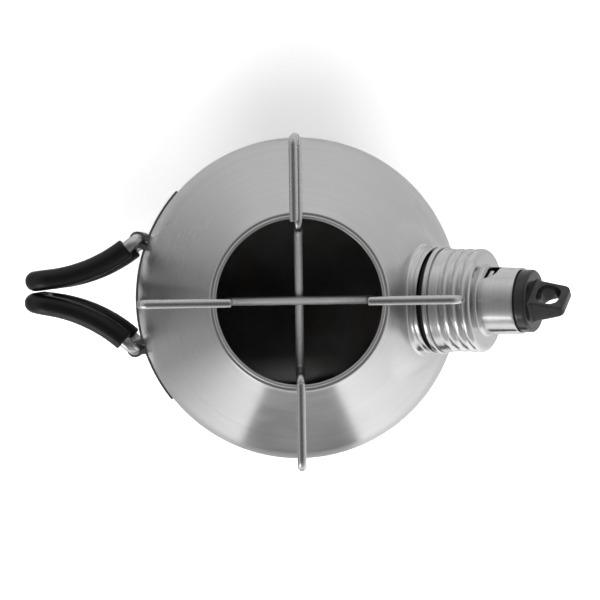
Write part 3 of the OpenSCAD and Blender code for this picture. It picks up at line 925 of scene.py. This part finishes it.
def thicken(mesh, depth):
    """Gives a flat outline its depth along the local Y axis."""
    made = bmesh.ops.extrude_face_region(mesh, geom=list(mesh.faces), use_keep_orig=True)["geom"]
    bmesh.ops.translate(mesh, verts=only(made, bmesh.types.BMVert), vec=Y_AXIS * depth)


class BentWire:
    """A round bar that is drawn by runs and bends from a start point."""

    def __init__(self, radius, point, heading, side):
        self.mesh = bmesh.new()
        self.point = Vector(point)
        self.heading = Vector(heading).normalized()
        across = Vector(side).normalized()
        place = Matrix((across, self.heading.cross(across), self.heading)).transposed().to_4x4()
        place.translation = self.point
        ring = bmesh.ops.create_circle(
            self.mesh, cap_ends=False, radius=radius, segments=WIRE_SIDES, matrix=place
        )["verts"]
        self.ring = list({edge for vert in ring for edge in vert.link_edges})
        self.start = list(self.ring)

    def run(self, distance):
        """Straight run along the heading."""
        made = bmesh.ops.extrude_edge_only(self.mesh, edges=self.ring)["geom"]
        step = self.heading * distance
        self.ring = only(made, bmesh.types.BMEdge)
        bmesh.ops.translate(self.mesh, verts=only(made, bmesh.types.BMVert), vec=step)
        self.point = self.point + step

    def bend(self, toward, radius, angle, steps=BEND_STEPS):
        """Bend of the heading towards a direction that is square to it."""
        toward = Vector(toward).normalized()
        centre = self.point + toward * radius
        axis = self.heading.cross(toward)
        ring_verts = list({vert for edge in self.ring for vert in edge.verts})
        made = bmesh.ops.spin(
            self.mesh,
            geom=ring_verts + self.ring,
            cent=centre,
            axis=axis,
            angle=angle,
            steps=steps,
            use_merge=False,
        )["geom_last"]
        self.ring = only(made, bmesh.types.BMEdge)
        around = Matrix.Rotation(angle, 3, axis)
        self.point = centre + around @ (self.point - centre)
        self.heading = around @ self.heading

    def close_ends(self, rounding):
        """Closes both cut ends and rounds their edges."""
        for ring in (self.start, self.ring):
            bmesh.ops.contextual_create(self.mesh, geom=ring)
            round_edges(self.mesh, ring, rounding)
        return self.mesh


class KETTLE_OT_shell(bpy.types.Operator):
    """Spins the jacket: straight wall, rounded shoulder, cone and the folded seam round the mouth"""

    bl_idname = "kettle.shell"
    bl_label = "Spun shell"

    def execute(self, context):
        body = context.scene.kettle_body
        spout = context.scene.kettle_spout
        wall_r = body.wall_d / 2
        seam_r = body.seam_d / 2
        sheet = body.sheet
        slope = math.tan(body.cone_angle)
        cone_top = body.rim_z - body.lip_d
        flange_r = body.mouth_d / 2 + body.lip_d
        inner_seam_r = seam_r - sheet / math.cos(body.cone_angle)
        edge = SHEET_EDGE * sheet
        corners = [
            (wall_r, body.foot_z, edge),
            (wall_r, cone_top - (wall_r - seam_r) / slope, body.shoulder_r),
            (seam_r - body.seam_rise * slope, cone_top + body.seam_rise, body.seam_round),
            (flange_r, cone_top + body.seam_rise / 2, 0.0),
            (flange_r, cone_top - sheet, 0.0),
            (inner_seam_r + sheet * slope, cone_top - sheet, 0.0),
            (wall_r - sheet, cone_top - (wall_r - sheet - inner_seam_r) / slope, body.shoulder_r - sheet),
            (wall_r - sheet, body.foot_z, edge),
        ]
        mesh = lathe(corners, BODY_STEPS, longest=SHELL_ROW)
        self.press_boss(context, mesh)
        piece = finish_piece(
            mesh, "spun_shell", finish_for(context, "body"), "kettle", ["outer_shell"]
        )
        hole = bmesh.new()
        bore_r = spout.neck_d / 2 - sheet
        bmesh.ops.create_cone(
            hole,
            cap_ends=True,
            segments=CAP_STEPS,
            radius1=bore_r,
            radius2=bore_r,
            depth=BORE_CUT,
            matrix=spout_matrix(context),
        )
        cut_away(piece, hole)
        return {"FINISHED"}

    def press_boss(self, context, mesh):
        """Presses the cone out round the spout, so that the collar stands on a softer curve."""
        spout = context.scene.kettle_spout
        place = spout_matrix(context)
        axis = place.to_3x3() @ Z_AXIS
        to_spout = place.inverted()
        for vert in mesh.verts:
            x, y, z = to_spout @ vert.co
            reach = math.hypot(x, y)
            if reach > spout.boss_out or z < -spout.boss_out / 2:
                continue
            share = min(1.0, (spout.boss_out - reach) / (spout.boss_out - spout.boss_in))
            soft = share * share * (3 - 2 * share)
            vert.co += axis * (BOSS_SHARE * soft * cone_drop(context, x, y))


class KETTLE_OT_fire_parts(bpy.types.Operator):
    """Gives the chimney, the jacket floor and the fire bowl their finishes"""

    bl_idname = "kettle.fire_parts"
    bl_label = "Chimney and bowl"

    def execute(self, context):
        for name, key in (("chimney", "flue"), ("jacket_floor", "flue"), ("fire_bowl", "bowl")):
            refinish(context, name, key)
        return {"FINISHED"}


class KETTLE_OT_neck(bpy.types.Operator):
    """Turns the neck with its drawn collar and rolled thread, and the gasket on it"""

    bl_idname = "kettle.neck"
    bl_label = "Spout neck"

    def execute(self, context):
        spout = context.scene.kettle_spout
        lip_r = spout.collar_d / 2 - COLLAR_EDGE
        seat_r = lip_r - spout.lip
        self.neck(context, lip_r, seat_r)
        self.gasket(context, seat_r)
        return {"FINISHED"}

    def neck(self, context, lip_r, seat_r):
        """Threaded tube on a collar whose foot is cut to the cone."""
        spout = context.scene.kettle_spout
        neck_r = spout.neck_d / 2
        bore_r = neck_r - context.scene.kettle_body.sheet
        collar_r = spout.collar_d / 2
        foot_r = collar_r + FILLET_ROOM * spout.foot_fillet
        bead = spout.bead_h
        groove_r = collar_r - spout.bead_groove
        groove_top = bead + spout.bead_groove
        end = spout.neck_end
        rise = spout.collar_rise
        corners = [
            (bore_r, -NECK_SINK, 0.0),
            (foot_r, -NECK_SINK, 0.0),
            (foot_r, COLLAR_EDGE, 0.0),
            (collar_r, COLLAR_EDGE, spout.foot_fillet),
            (collar_r, bead, BEAD_ROUND),
            (groove_r, bead, 0.0),
            (groove_r, groove_top, 0.0),
            (lip_r, groove_top, LIP_FOOT_ROUND),
            (lip_r, rise, LIP_OUTER_ROUND),
            (seat_r, rise, LIP_INNER_ROUND),
            (seat_r, spout.seat, 0.0),
            (neck_r, spout.seat, 0.0),
            (neck_r, end, NECK_END_ROUND),
            (bore_r, end, NECK_END_ROUND),
        ]
        mesh = lathe(corners, CAP_STEPS, longest=NECK_ROW)
        self.drape(context, mesh)
        roll_thread(
            mesh,
            neck_r,
            spout.seat + spout.gasket_t + THREAD_MARGIN,
            end - THREAD_MARGIN,
            spout.thread_pitch,
            spout.thread_depth,
            NECK_FADE,
        )
        bmesh.ops.transform(mesh, matrix=spout_matrix(context), verts=mesh.verts)
        neck = finish_piece(
            mesh, "threaded_neck", finish_for(context, "cap"), "kettle", ["spout_neck"]
        )
        cut_away(neck, self.core(context))

    def core(self, context):
        """The kettle's body as one plain turned solid, which the collar's foot is cut to."""
        body = context.scene.kettle_body
        slope = math.tan(body.cone_angle)
        wall_r = body.wall_d / 2 + SEAM_GAP
        seam_r = body.seam_d / 2 + SEAM_GAP
        cone_top = body.rim_z - body.lip_d
        corners = [
            (0.0, body.foot_z, 0.0),
            (wall_r, body.foot_z, 0.0),
            (wall_r, cone_top - (wall_r - seam_r) / slope, body.shoulder_r),
            (seam_r, cone_top, 0.0),
            (0.0, cone_top, 0.0),
        ]
        return lathe(corners, BODY_STEPS, closed=False)

    def gasket(self, context, seat_r):
        """Moulded ring round the neck, inside the collar's lip."""
        spout = context.scene.kettle_spout
        bore_r = spout.neck_d / 2 + SEAM_GAP
        ring_r = seat_r - spout.gasket_inset
        foot = spout.seat + SEAM_GAP
        top = spout.seat + spout.gasket_t
        corners = [
            (bore_r, foot, GASKET_BORE_ROUND),
            (ring_r, foot, GASKET_FOOT_ROUND),
            (ring_r, top, GASKET_TOP_ROUND),
            (bore_r, top, GASKET_BORE_ROUND),
        ]
        mesh = lathe(corners, CAP_STEPS, longest=NECK_ROW)
        bmesh.ops.transform(mesh, matrix=spout_matrix(context), verts=mesh.verts)
        finish_piece(
            mesh, "moulded_gasket", finish_for(context, "silicone"), "kettle", ["neck_gasket"]
        )

    def drape(self, context, mesh):
        """Lets the collar's foot follow the cone, and its lip's outer edge rise towards the lower side."""
        spout = context.scene.kettle_spout
        collar_r = spout.collar_d / 2
        foot = COLLAR_EDGE + spout.foot_fillet
        lip_foot = spout.bead_h + spout.bead_groove / 2
        lip_foot_r = collar_r - spout.bead_groove - WELD
        for vert in mesh.verts:
            x, y, z = vert.co
            share = min(1.0, max(0.0, (foot - z) / foot))
            vert.co.z -= (1 - BOSS_SHARE) * share * cone_drop(context, x, y)
            if lip_foot < z <= spout.collar_rise and math.hypot(x, y) > lip_foot_r:
                vert.co.z += spout.lip_rise * (1 + x / collar_r)


class KETTLE_OT_cap(bpy.types.Operator):
    """Turns the screw cap with its hem and rolled thread, and the whistle tower on it"""

    bl_idname = "kettle.cap"
    bl_label = "Whistle cap"

    def execute(self, context):
        cap = context.scene.kettle_cap
        face = cap.hem_s + cap.hem_h + cap.skirt_h
        sill = face + cap.mouth_sill
        self.skirt(context, face)
        self.tower(context, face, sill)
        self.tongue(context, sill)
        refinish(context, "whistle_plate", "cap")
        refinish(context, "cap_liner", "silicone")
        return {"FINISHED"}

    def skirt(self, context, face):
        """Hem, smooth band, creased skirt and face, turned in one piece."""
        cap = context.scene.kettle_cap
        skirt_r = cap.skirt_d / 2
        bore_r = skirt_r - cap.wall
        tower_r = cap.tower_bore_d / 2
        hem_r = skirt_r + cap.hem_proud
        hem_top = cap.hem_s + cap.hem_h
        groove_r = skirt_r - cap.groove
        groove_top = hem_top + cap.groove
        thread_start = hem_top + cap.plain_band
        corners = [
            (bore_r, cap.hem_s, HEM_BORE_ROUND),
            (hem_r, cap.hem_s, HEM_FOOT_ROUND),
            (hem_r, hem_top, HEM_TOP_ROUND),
            (groove_r, hem_top, 0.0),
            (groove_r, groove_top, 0.0),
            (skirt_r + cap.band_taper, groove_top, BAND_ROUND),
            (skirt_r, thread_start, 0.0),
            (skirt_r, face, cap.face_round),
            (tower_r, face, 0.0),
            (tower_r, face - cap.face_t, 0.0),
            (bore_r, face - cap.face_t, FACE_INNER_ROUND),
        ]
        mesh = lathe(corners, CAP_STEPS, longest=CAP_ROW)
        roll_thread(
            mesh,
            skirt_r,
            thread_start,
            face - cap.face_round,
            context.scene.kettle_spout.thread_pitch,
            cap.crease,
            CAP_FADE,
        )
        bmesh.ops.transform(mesh, matrix=spout_matrix(context), verts=mesh.verts)
        finish_piece(mesh, "screw_cap", finish_for(context, "cap"), "cap", ["whistle_cap"])

    def tower(self, context, face, sill):
        """Tube on the cap's face with the whistle mouth cut into it."""
        cap = context.scene.kettle_cap
        place = spout_matrix(context)
        foot_r = cap.tower_d / 2
        fillet_r = foot_r + FILLET_ROOM * cap.tower_fillet
        bore_r = cap.tower_bore_d / 2
        foot = face + SEAM_GAP
        top = face + cap.tower_h
        corners = [
            (bore_r, face, 0.0),
            (fillet_r, face, 0.0),
            (fillet_r, foot, 0.0),
            (foot_r, foot, cap.tower_fillet),
            (cap.tower_top_d / 2, top, TOWER_TOP_ROUND),
            (bore_r, top, 0.0),
        ]
        mesh = lathe(corners, CAP_STEPS, longest=TOWER_ROW)
        bmesh.ops.transform(mesh, matrix=place, verts=mesh.verts)
        tower = finish_piece(
            mesh, "drawn_tower", finish_for(context, "cap"), "cap", ["whistle_tower"]
        )
        brow = sill + cap.mouth_h
        half = cap.mouth_w / 2
        cutter = bmesh.new()
        outline = rounded_loop(
            cutter,
            [(-half, sill), (half, sill), (half, brow), (cap.mouth_lean - half, brow)],
            [0.0, 0.0, cap.mouth_round, cap.mouth_round],
        )
        bmesh.ops.contextual_create(cutter, geom=outline)
        thicken(cutter, 2 * foot_r)
        turned = place @ Matrix.Rotation(QUARTER - cap.mouth_turn, 4, "Z")
        bmesh.ops.transform(cutter, matrix=turned, verts=cutter.verts)
        cut_away(tower, cutter)

    def tongue(self, context, sill):
        """Bright tongue that stands inside the whistle mouth."""
        cap = context.scene.kettle_cap
        near = cap.tongue_side - cap.tongue_w / 2
        far = cap.tongue_side + cap.tongue_w / 2
        low = sill + cap.tongue_h / 2
        high = low + cap.tongue_h
        lean = cap.mouth_lean * cap.tongue_h / cap.mouth_h
        rounding = cap.tongue_h / 3
        tongue = bmesh.new()
        outline = rounded_loop(
            tongue,
            [(near, low), (far, low), (far, high), (near + lean, high)],
            [0.0, 0.0, rounding, rounding],
        )
        bmesh.ops.contextual_create(tongue, geom=outline)
        thicken(tongue, cap.face_t)
        inside = Matrix.Translation(Y_AXIS * (cap.tongue_r - cap.face_t))
        turned = spout_matrix(context) @ Matrix.Rotation(QUARTER - cap.tongue_turn, 4, "Z") @ inside
        bmesh.ops.transform(tongue, matrix=turned, verts=tongue.verts)
        finish_piece(
            tongue, "whistle_tongue", finish_for(context, "cap"), "cap", ["whistle_tower"]
        )


class KETTLE_OT_knob(bpy.types.Operator):
    """Moulds the knob: disc, plug and the wedge-shaped loop"""

    bl_idname = "kettle.knob"
    bl_label = "Loop knob"

    def execute(self, context):
        knob = context.scene.kettle_knob
        disc_r = knob.disc_d / 2
        top = knob.disc_s + knob.disc_h
        plug_r = knob.plug_d / 2
        plug_s = knob.disc_s - knob.plug_h
        rebate_r = disc_r - knob.rebate
        rebate_top = knob.disc_s + knob.rebate
        corners = [
            (0.0, plug_s, 0.0),
            (plug_r, plug_s, PLUG_ROUND),
            (plug_r, knob.disc_s, 0.0),
            (rebate_r, knob.disc_s, 0.0),
            (rebate_r, rebate_top, 0.0),
            (disc_r, rebate_top, REBATE_ROUND),
            (disc_r, top, knob.disc_round),
            (0.0, top, 0.0),
        ]
        mesh = lathe(corners, CAP_STEPS, longest=TOWER_ROW, closed=False)
        tab = self.loop_tab(knob)
        local = Matrix.Translation((0.0, 0.0, top)) @ Matrix.Rotation(knob.tab_turn, 4, "Z")
        bmesh.ops.transform(tab, matrix=local, verts=tab.verts)
        take_in(mesh, tab)
        bmesh.ops.transform(mesh, matrix=spout_matrix(context), verts=mesh.verts)
        finish_piece(
            mesh,
            "moulded_knob",
            finish_for(context, "plastic"),
            "cap",
            ["loop_knob"],
            KNOB_SHARP_ANGLE,
        )
        return {"FINISHED"}

    def loop_tab(self, knob):
        """Ring of a rounded tab round a slot, drawn flat, given its thickness and tapered."""
        mesh = bmesh.new()
        foot = -knob.disc_round
        half_w = knob.tab_w / 2
        half_tip = knob.tab_tip_w / 2
        fillet = knob.tab_fillet
        foot_w = half_w + FILLET_ROOM * fillet
        outline = rounded_loop(
            mesh,
            [
                (-foot_w, foot),
                (foot_w, foot),
                (foot_w, 0.0),
                (half_w, 0.0),
                (half_tip, knob.tab_l),
                (-half_tip, knob.tab_l),
                (-half_w, 0.0),
                (-foot_w, 0.0),
            ],
            [0.0, 0.0, 0.0, fillet, knob.tab_round, knob.tab_round, fillet, 0.0],
        )
        far = knob.tab_l - knob.loop_rim
        near = far - knob.loop_l
        half_loop = knob.loop_w / 2
        slot = rounded_loop(
            mesh,
            [(-half_loop, near), (half_loop, near), (half_loop, far), (-half_loop, far)],
            [knob.loop_round] * 4,
        )
        bmesh.ops.triangle_fill(mesh, use_beauty=True, edges=outline + slot)
        bmesh.ops.dissolve_limit(mesh, angle_limit=FLAT_ANGLE, verts=mesh.verts, edges=mesh.edges)
        thicken(mesh, knob.tab_t)
        bmesh.ops.translate(mesh, verts=mesh.verts, vec=-Y_AXIS * knob.tab_t / 2)
        span = knob.tab_l - foot
        for vert in mesh.verts:
            along = (vert.co.z - foot) / span
            vert.co.y *= 1 + (knob.tab_tip_t / knob.tab_t - 1) * along
        bmesh.ops.recalc_face_normals(mesh, faces=mesh.faces)
        rims = [e for e in mesh.edges if len(e.link_faces) == 2 and e.calc_face_angle() > RIM_ANGLE]
        round_edges(mesh, rims, knob.edge)
        return mesh


class KETTLE_OT_handles(bpy.types.Operator):
    """Bends the two handle wires, draws the silicone sleeves over them and finishes the bracket"""

    bl_idname = "kettle.handles"
    bl_label = "Folding handles"

    def execute(self, context):
        handle = context.scene.kettle_handle
        skew = Matrix.Rotation(-handle.skew, 4, "Z")
        place = Matrix.Translation((handle.hinge_x, handle.hinge_y, handle.handle_z))
        place = place @ Matrix.Rotation(math.pi + handle.in_angle, 4, "Z")
        across = Matrix.Scale(-1.0, 4, Y_AXIS)
        for side, matrix in (("left", skew @ place), ("right", skew @ across @ place)):
            body = side + "_handle"
            wire = self.wire(handle)
            bmesh.ops.transform(wire, matrix=matrix, verts=wire.verts)
            finish_piece(
                wire,
                side + "_bent_wire",
                finish_for(context, "wire"),
                body,
                [side + "_handle_wire"],
            )
            sleeve = self.sleeve(handle)
            bmesh.ops.transform(sleeve, matrix=matrix, verts=sleeve.verts)
            finish_piece(
                sleeve,
                side + "_silicone_sleeve",
                finish_for(context, "silicone"),
                body,
                [side + "_grip_sleeve"],
            )
        refinish(context, "handle_bracket", "strip")
        return {"FINISHED"}

    def wire(self, handle):
        """Closed loop: hinge pin, upper leg, tip and lower leg."""
        pin = handle.handle_h / 2 - handle.hinge_bend_r
        bar = BentWire(handle.wire_d / 2, ORIGIN, Z_AXIS, X_AXIS)
        bar.run(pin)
        bar.bend(X_AXIS, handle.hinge_bend_r, QUARTER)
        self.legs(bar, handle, handle.in_angle - handle.out_angle)
        bar.bend(Z_AXIS, handle.hinge_bend_r, QUARTER)
        bar.run(pin)
        return bar.mesh

    def legs(self, bar, handle, sweep):
        """Both long curves and the tip between them."""
        upright = handle.handle_h - 2 * handle.tip_bend_r
        bar.bend(bar.heading.cross(Z_AXIS), handle.curve_r, sweep, CURVE_STEPS)
        outward = bar.heading.copy()
        bar.bend(-Z_AXIS, handle.tip_bend_r, QUARTER)
        bar.run(upright)
        bar.bend(-outward, handle.tip_bend_r, QUARTER)
        bar.bend(Z_AXIS.cross(bar.heading), handle.curve_r, sweep, CURVE_STEPS)

    def sleeve(self, handle):
        """Tube over the loop, open at both ends, with its ends rounded."""
        bare = handle.sleeve_bare
        sweep = handle.in_angle - handle.out_angle - bare
        start = Vector(
            (
                handle.hinge_bend_r + handle.curve_r * math.sin(bare),
                handle.curve_r * (math.cos(bare) - 1),
                handle.handle_h / 2,
            )
        )
        heading = Vector((math.cos(bare), -math.sin(bare), 0.0))
        outer = BentWire(handle.sleeve_d / 2, start, heading, Z_AXIS)
        self.legs(outer, handle, sweep)
        inner = BentWire(handle.wire_d / 2 + SEAM_GAP, start, heading, Z_AXIS)
        self.legs(inner, handle, sweep)
        mesh = outer.mesh
        take_in(mesh, inner.mesh)
        rims = [edge for edge in mesh.edges if edge.is_boundary]
        near_start = [e for e in rims if (e.verts[0].co - start).length < handle.sleeve_d]
        near_end = [e for e in rims if e not in near_start]
        for ends in (near_start, near_end):
            bmesh.ops.bridge_loops(mesh, edges=ends)
        round_edges(mesh, rims, handle.sleeve_round)
        return mesh


class KETTLE_OT_support(bpy.types.Operator):
    """Bends the two wires of the pot support"""

    bl_idname = "kettle.support"
    bl_label = "Pot support"

    def execute(self, context):
        support = context.scene.kettle_support
        self.wire(
            context,
            "upper",
            support.turn_z,
            support.long_reach,
            support.long_free_end,
            support.crossing_z + support.wire_d + SEAM_GAP,
            0.0,
        )
        self.wire(
            context,
            "lower",
            support.turn_z + QUARTER,
            support.cross_reach,
            support.cross_free_end,
            support.crossing_z,
            -support.rear_lean,
        )
        return {"FINISHED"}

    def wire(self, context, name, azimuth, reach, free_end, crossing_z, lean):
        """One wire from free end to free end, drawn along +X and turned into place."""
        support = context.scene.kettle_support
        fold_r = support.arm_rise / 2
        fold_x = reach - support.wire_d / 2 - fold_r
        leg_bend = support.leg_bend_r
        out_x = support.leg_r + leg_bend
        leg_l = support.low_run_z - crossing_z - 2 * leg_bend
        tilt = Vector((0.0, -math.sin(lean), math.cos(lean)))
        start = Vector((free_end, 0.0, support.low_run_z)) + tilt * support.arm_rise
        bar = BentWire(support.wire_d / 2, start, X_AXIS, tilt)
        end = support.wire_d / 2
        bar.run(end)
        bar.run(fold_x - free_end - end)
        bar.bend(-tilt, fold_r, 2 * QUARTER, 2 * BEND_STEPS)
        bar.run(fold_x - out_x)
        bar.bend(-Z_AXIS, leg_bend, QUARTER)
        bar.run(leg_l)
        bar.bend(-X_AXIS, leg_bend, QUARTER)
        bar.run(2 * (support.leg_r - leg_bend))
        bar.bend(Z_AXIS, leg_bend, QUARTER)
        bar.run(leg_l)
        bar.bend(-X_AXIS, leg_bend, QUARTER)
        bar.run(fold_x - out_x)
        bar.bend(Z_AXIS, fold_r, 2 * QUARTER, 2 * BEND_STEPS)
        bar.run(fold_x - free_end - end)
        bar.run(end)
        mesh = bar.close_ends(support.end_round)
        bmesh.ops.transform(mesh, matrix=Matrix.Rotation(azimuth, 4, "Z"), verts=mesh.verts)
        finish_piece(
            mesh,
            name + "_bent_wire",
            finish_for(context, "support"),
            "pot_support",
            [name + "_support_wire"],
        )


class KETTLE_OT_stage(bpy.types.Operator):
    """Sets floor, soft lights, graded cards and the camera above the kettle"""

    bl_idname = "kettle.stage"
    bl_label = "Stage"

    def execute(self, context):
        stage = context.scene.kettle_stage
        context.scene.view_settings.view_transform = "Standard"
        self.floor(stage)
        self.world(context)
        self.lights(context)
        self.cards()
        camera_data = bpy.data.cameras.new("above")
        camera_data.sensor_width = SENSOR_WIDTH
        camera_data.lens = LENS
        camera = bpy.data.objects.new("above", camera_data)
        camera.location = (stage.camera_x, stage.camera_y, stage.camera_z)
        camera.rotation_euler = (stage.tilt_x, stage.tilt_y, 0.0)
        context.scene.collection.objects.link(camera)
        context.scene.camera = camera
        return {"FINISHED"}

    def floor(self, stage):
        """Pale floor that shines a little by itself, so that the kettle's shadow on it stays soft."""
        mesh = bmesh.new()
        bmesh.ops.create_grid(mesh, x_segments=1, y_segments=1, size=FLOOR_HALF)
        floor = new_object(mesh, "floor")
        material, tree = new_material("pale studio floor")
        paths = node(tree, "ShaderNodeLightPath")
        place = node(tree, "ShaderNodeTexCoord").outputs["Object"]
        split = node(tree, "ShaderNodeSeparateXYZ", {"Vector": place})
        aside = node(tree, "ShaderNodeMath", {0: split.outputs["X"]}, operation="ABSOLUTE")
        rise = node(
            tree,
            "ShaderNodeMapRange",
            {
                "Value": aside.outputs[0],
                "From Min": GLOW_NEAR,
                "From Max": GLOW_FAR,
                "To Min": stage.floor_glow,
                "To Max": stage.floor_glow + stage.side_glow,
            },
        )
        glow = node(
            tree,
            "ShaderNodeMath",
            {0: paths.outputs["Is Camera Ray"], 1: rise.outputs[0]},
            operation="MULTIPLY",
        )
        light = node(tree, "ShaderNodeEmission", {"Strength": glow.outputs[0]})
        matt = node(tree, "ShaderNodeBsdfDiffuse", {"Color": stage.floor})
        both = node(tree, "ShaderNodeAddShader", {0: light.outputs[0], 1: matt.outputs[0]})
        node(tree, "ShaderNodeOutputMaterial", {"Surface": both.outputs[0]})
        floor.data.materials.append(material)

    def world(self, context):
        """White to the camera, an even fill to matt surfaces, and to mirrors a studio with a dark top."""
        stage = context.scene.kettle_stage
        world = bpy.data.worlds.new("studio")
        world.use_nodes = True
        tree = world.node_tree
        tree.nodes.clear()
        way = node(tree, "ShaderNodeTexCoord").outputs["Generated"]
        split = node(tree, "ShaderNodeSeparateXYZ", {"Vector": way})
        height = node(
            tree,
            "ShaderNodeMapRange",
            {
                "Value": split.outputs["Z"],
                "From Min": ROOM_LOW_SINE,
                "From Max": ROOM_HIGH_SINE,
                "To Min": stage.room_low,
                "To Max": stage.room_high,
            },
        )
        far = node(
            tree,
            "ShaderNodeMath",
            {0: split.outputs["Y"], 1: stage.room_far, 2: height.outputs[0]},
            operation="MULTIPLY_ADD",
        )
        room = node(
            tree,
            "ShaderNodeMath",
            {0: split.outputs["X"], 1: stage.room_right, 2: far.outputs[0]},
            operation="MULTIPLY_ADD",
        )
        paths = node(tree, "ShaderNodeLightPath")
        unseen = node(
            tree,
            "ShaderNodeMapRange",
            {"Value": paths.outputs["Is Glossy Ray"], "To Min": stage.room_fill, "To Max": room.outputs[0]},
        )
        strength = node(
            tree,
            "ShaderNodeMapRange",
            {"Value": paths.outputs["Is Camera Ray"], "To Min": unseen.outputs[0], "To Max": 1.0},
        )
        light = node(tree, "ShaderNodeBackground", {"Strength": strength.outputs[0]})
        node(tree, "ShaderNodeOutputWorld", {"Surface": light.outputs[0]})
        context.scene.world = world

    def lights(self, context):
        """A soft key above the near side, which throws the shadow, and a low box on the near left."""
        for name, azimuth, elevation, distance, width, height, power, mirrored in LIGHTS:
            data = bpy.data.lights.new(name, "AREA")
            data.shape = "RECTANGLE"
            data.size = width
            data.size_y = height
            data.energy = power
            lamp = bpy.data.objects.new(name, data)
            flat = math.radians(azimuth)
            rise = math.radians(elevation)
            level_x = math.cos(flat) * math.cos(rise)
            level_y = math.sin(flat) * math.cos(rise)
            back = Vector((level_x, level_y, math.sin(rise)))
            lamp.location = LIGHT_AIM + back * distance
            lamp.rotation_euler = back.to_track_quat("Z", "Y").to_euler()
            lamp.visible_camera = False
            lamp.visible_glossy = mirrored
            context.scene.collection.objects.link(lamp)

    def cards(self):
        """Graded cards on the floor round the picture, which only the metal mirrors."""
        for name, first, first_tone, last, last_tone, near, far in CARDS:
            mesh = bmesh.new()
            edge = [
                mesh.verts.new((near * math.cos(a), near * math.sin(a), CARD_LIFT))
                for a in (math.radians(d) for d in range(first, last + 1))
            ]
            rim = [mesh.edges.new(pair) for pair in zip(edge, edge[1:])]
            made = bmesh.ops.extrude_edge_only(mesh, edges=rim)["geom"]
            grow = far / near
            bmesh.ops.scale(mesh, vec=(grow, grow, 1.0), verts=only(made, bmesh.types.BMVert))
            card = new_object(mesh, name)
            material, tree = new_material(name)
            place = node(tree, "ShaderNodeTexCoord").outputs["Object"]
            back = math.pi - math.radians(first)
            start = node(tree, "ShaderNodeMapping", {"Vector": place, "Rotation": (0.0, 0.0, back)})
            round_it = node(
                tree, "ShaderNodeTexGradient", {"Vector": start.outputs[0]}, gradient_type="RADIAL"
            )
            tone = node(
                tree,
                "ShaderNodeMapRange",
                {
                    "Value": round_it.outputs["Fac"],
                    "From Max": (last - first) / 360,
                    "To Min": first_tone,
                    "To Max": last_tone,
                },
            )
            glow = node(tree, "ShaderNodeEmission", {"Strength": tone.outputs[0]})
            node(tree, "ShaderNodeOutputMaterial", {"Surface": glow.outputs[0]})
            card.data.materials.append(material)
            card.visible_camera = False
            card.visible_diffuse = False
            card.visible_shadow = False


OPERATORS = (
    KETTLE_OT_shell,
    KETTLE_OT_fire_parts,
    KETTLE_OT_neck,
    KETTLE_OT_cap,
    KETTLE_OT_knob,
    KETTLE_OT_handles,
    KETTLE_OT_support,
    KETTLE_OT_stage,
)

SETTINGS = (
    ("kettle_body", KettleBodySettings),
    ("kettle_spout", KettleSpoutSettings),
    ("kettle_cap", KettleCapSettings),
    ("kettle_knob", KettleKnobSettings),
    ("kettle_handle", KettleHandleSettings),
    ("kettle_support", KettleSupportSettings),
    ("kettle_finish", KettleFinishSettings),
    ("kettle_stage", KettleStageSettings),
)


class KETTLE_PT_panel(bpy.types.Panel):
    """Lists the kettle's operators and their settings"""

    bl_idname = "KETTLE_PT_panel"
    bl_label = "Storm Kettle"
    bl_space_type = "VIEW_3D"
    bl_region_type = "UI"
    bl_category = "Kettle"

    def draw(self, context):
        layout = self.layout
        for operator in OPERATORS:
            layout.operator(operator.bl_idname)
        for name, group in SETTINGS:
            column = layout.column(align=True)
            settings = getattr(context.scene, name)
            for field in group.__annotations__:
                column.prop(settings, field)


def register():
    for name, group in SETTINGS:
        bpy.utils.register_class(group)
        setattr(bpy.types.Scene, name, bpy.props.PointerProperty(type=group))
    for operator in OPERATORS:
        bpy.utils.register_class(operator)
    bpy.utils.register_class(KETTLE_PT_panel)


def unregister():
    bpy.utils.unregister_class(KETTLE_PT_panel)
    for operator in reversed(OPERATORS):
        bpy.utils.unregister_class(operator)
    for name, group in reversed(SETTINGS):
        delattr(bpy.types.Scene, name)
        bpy.utils.unregister_class(group)


def main():
    register()
    for operator in OPERATORS:
        category, name = operator.bl_idname.split(".")
        getattr(getattr(bpy.ops, category), name)()


if __name__ == "__main__":
    main()
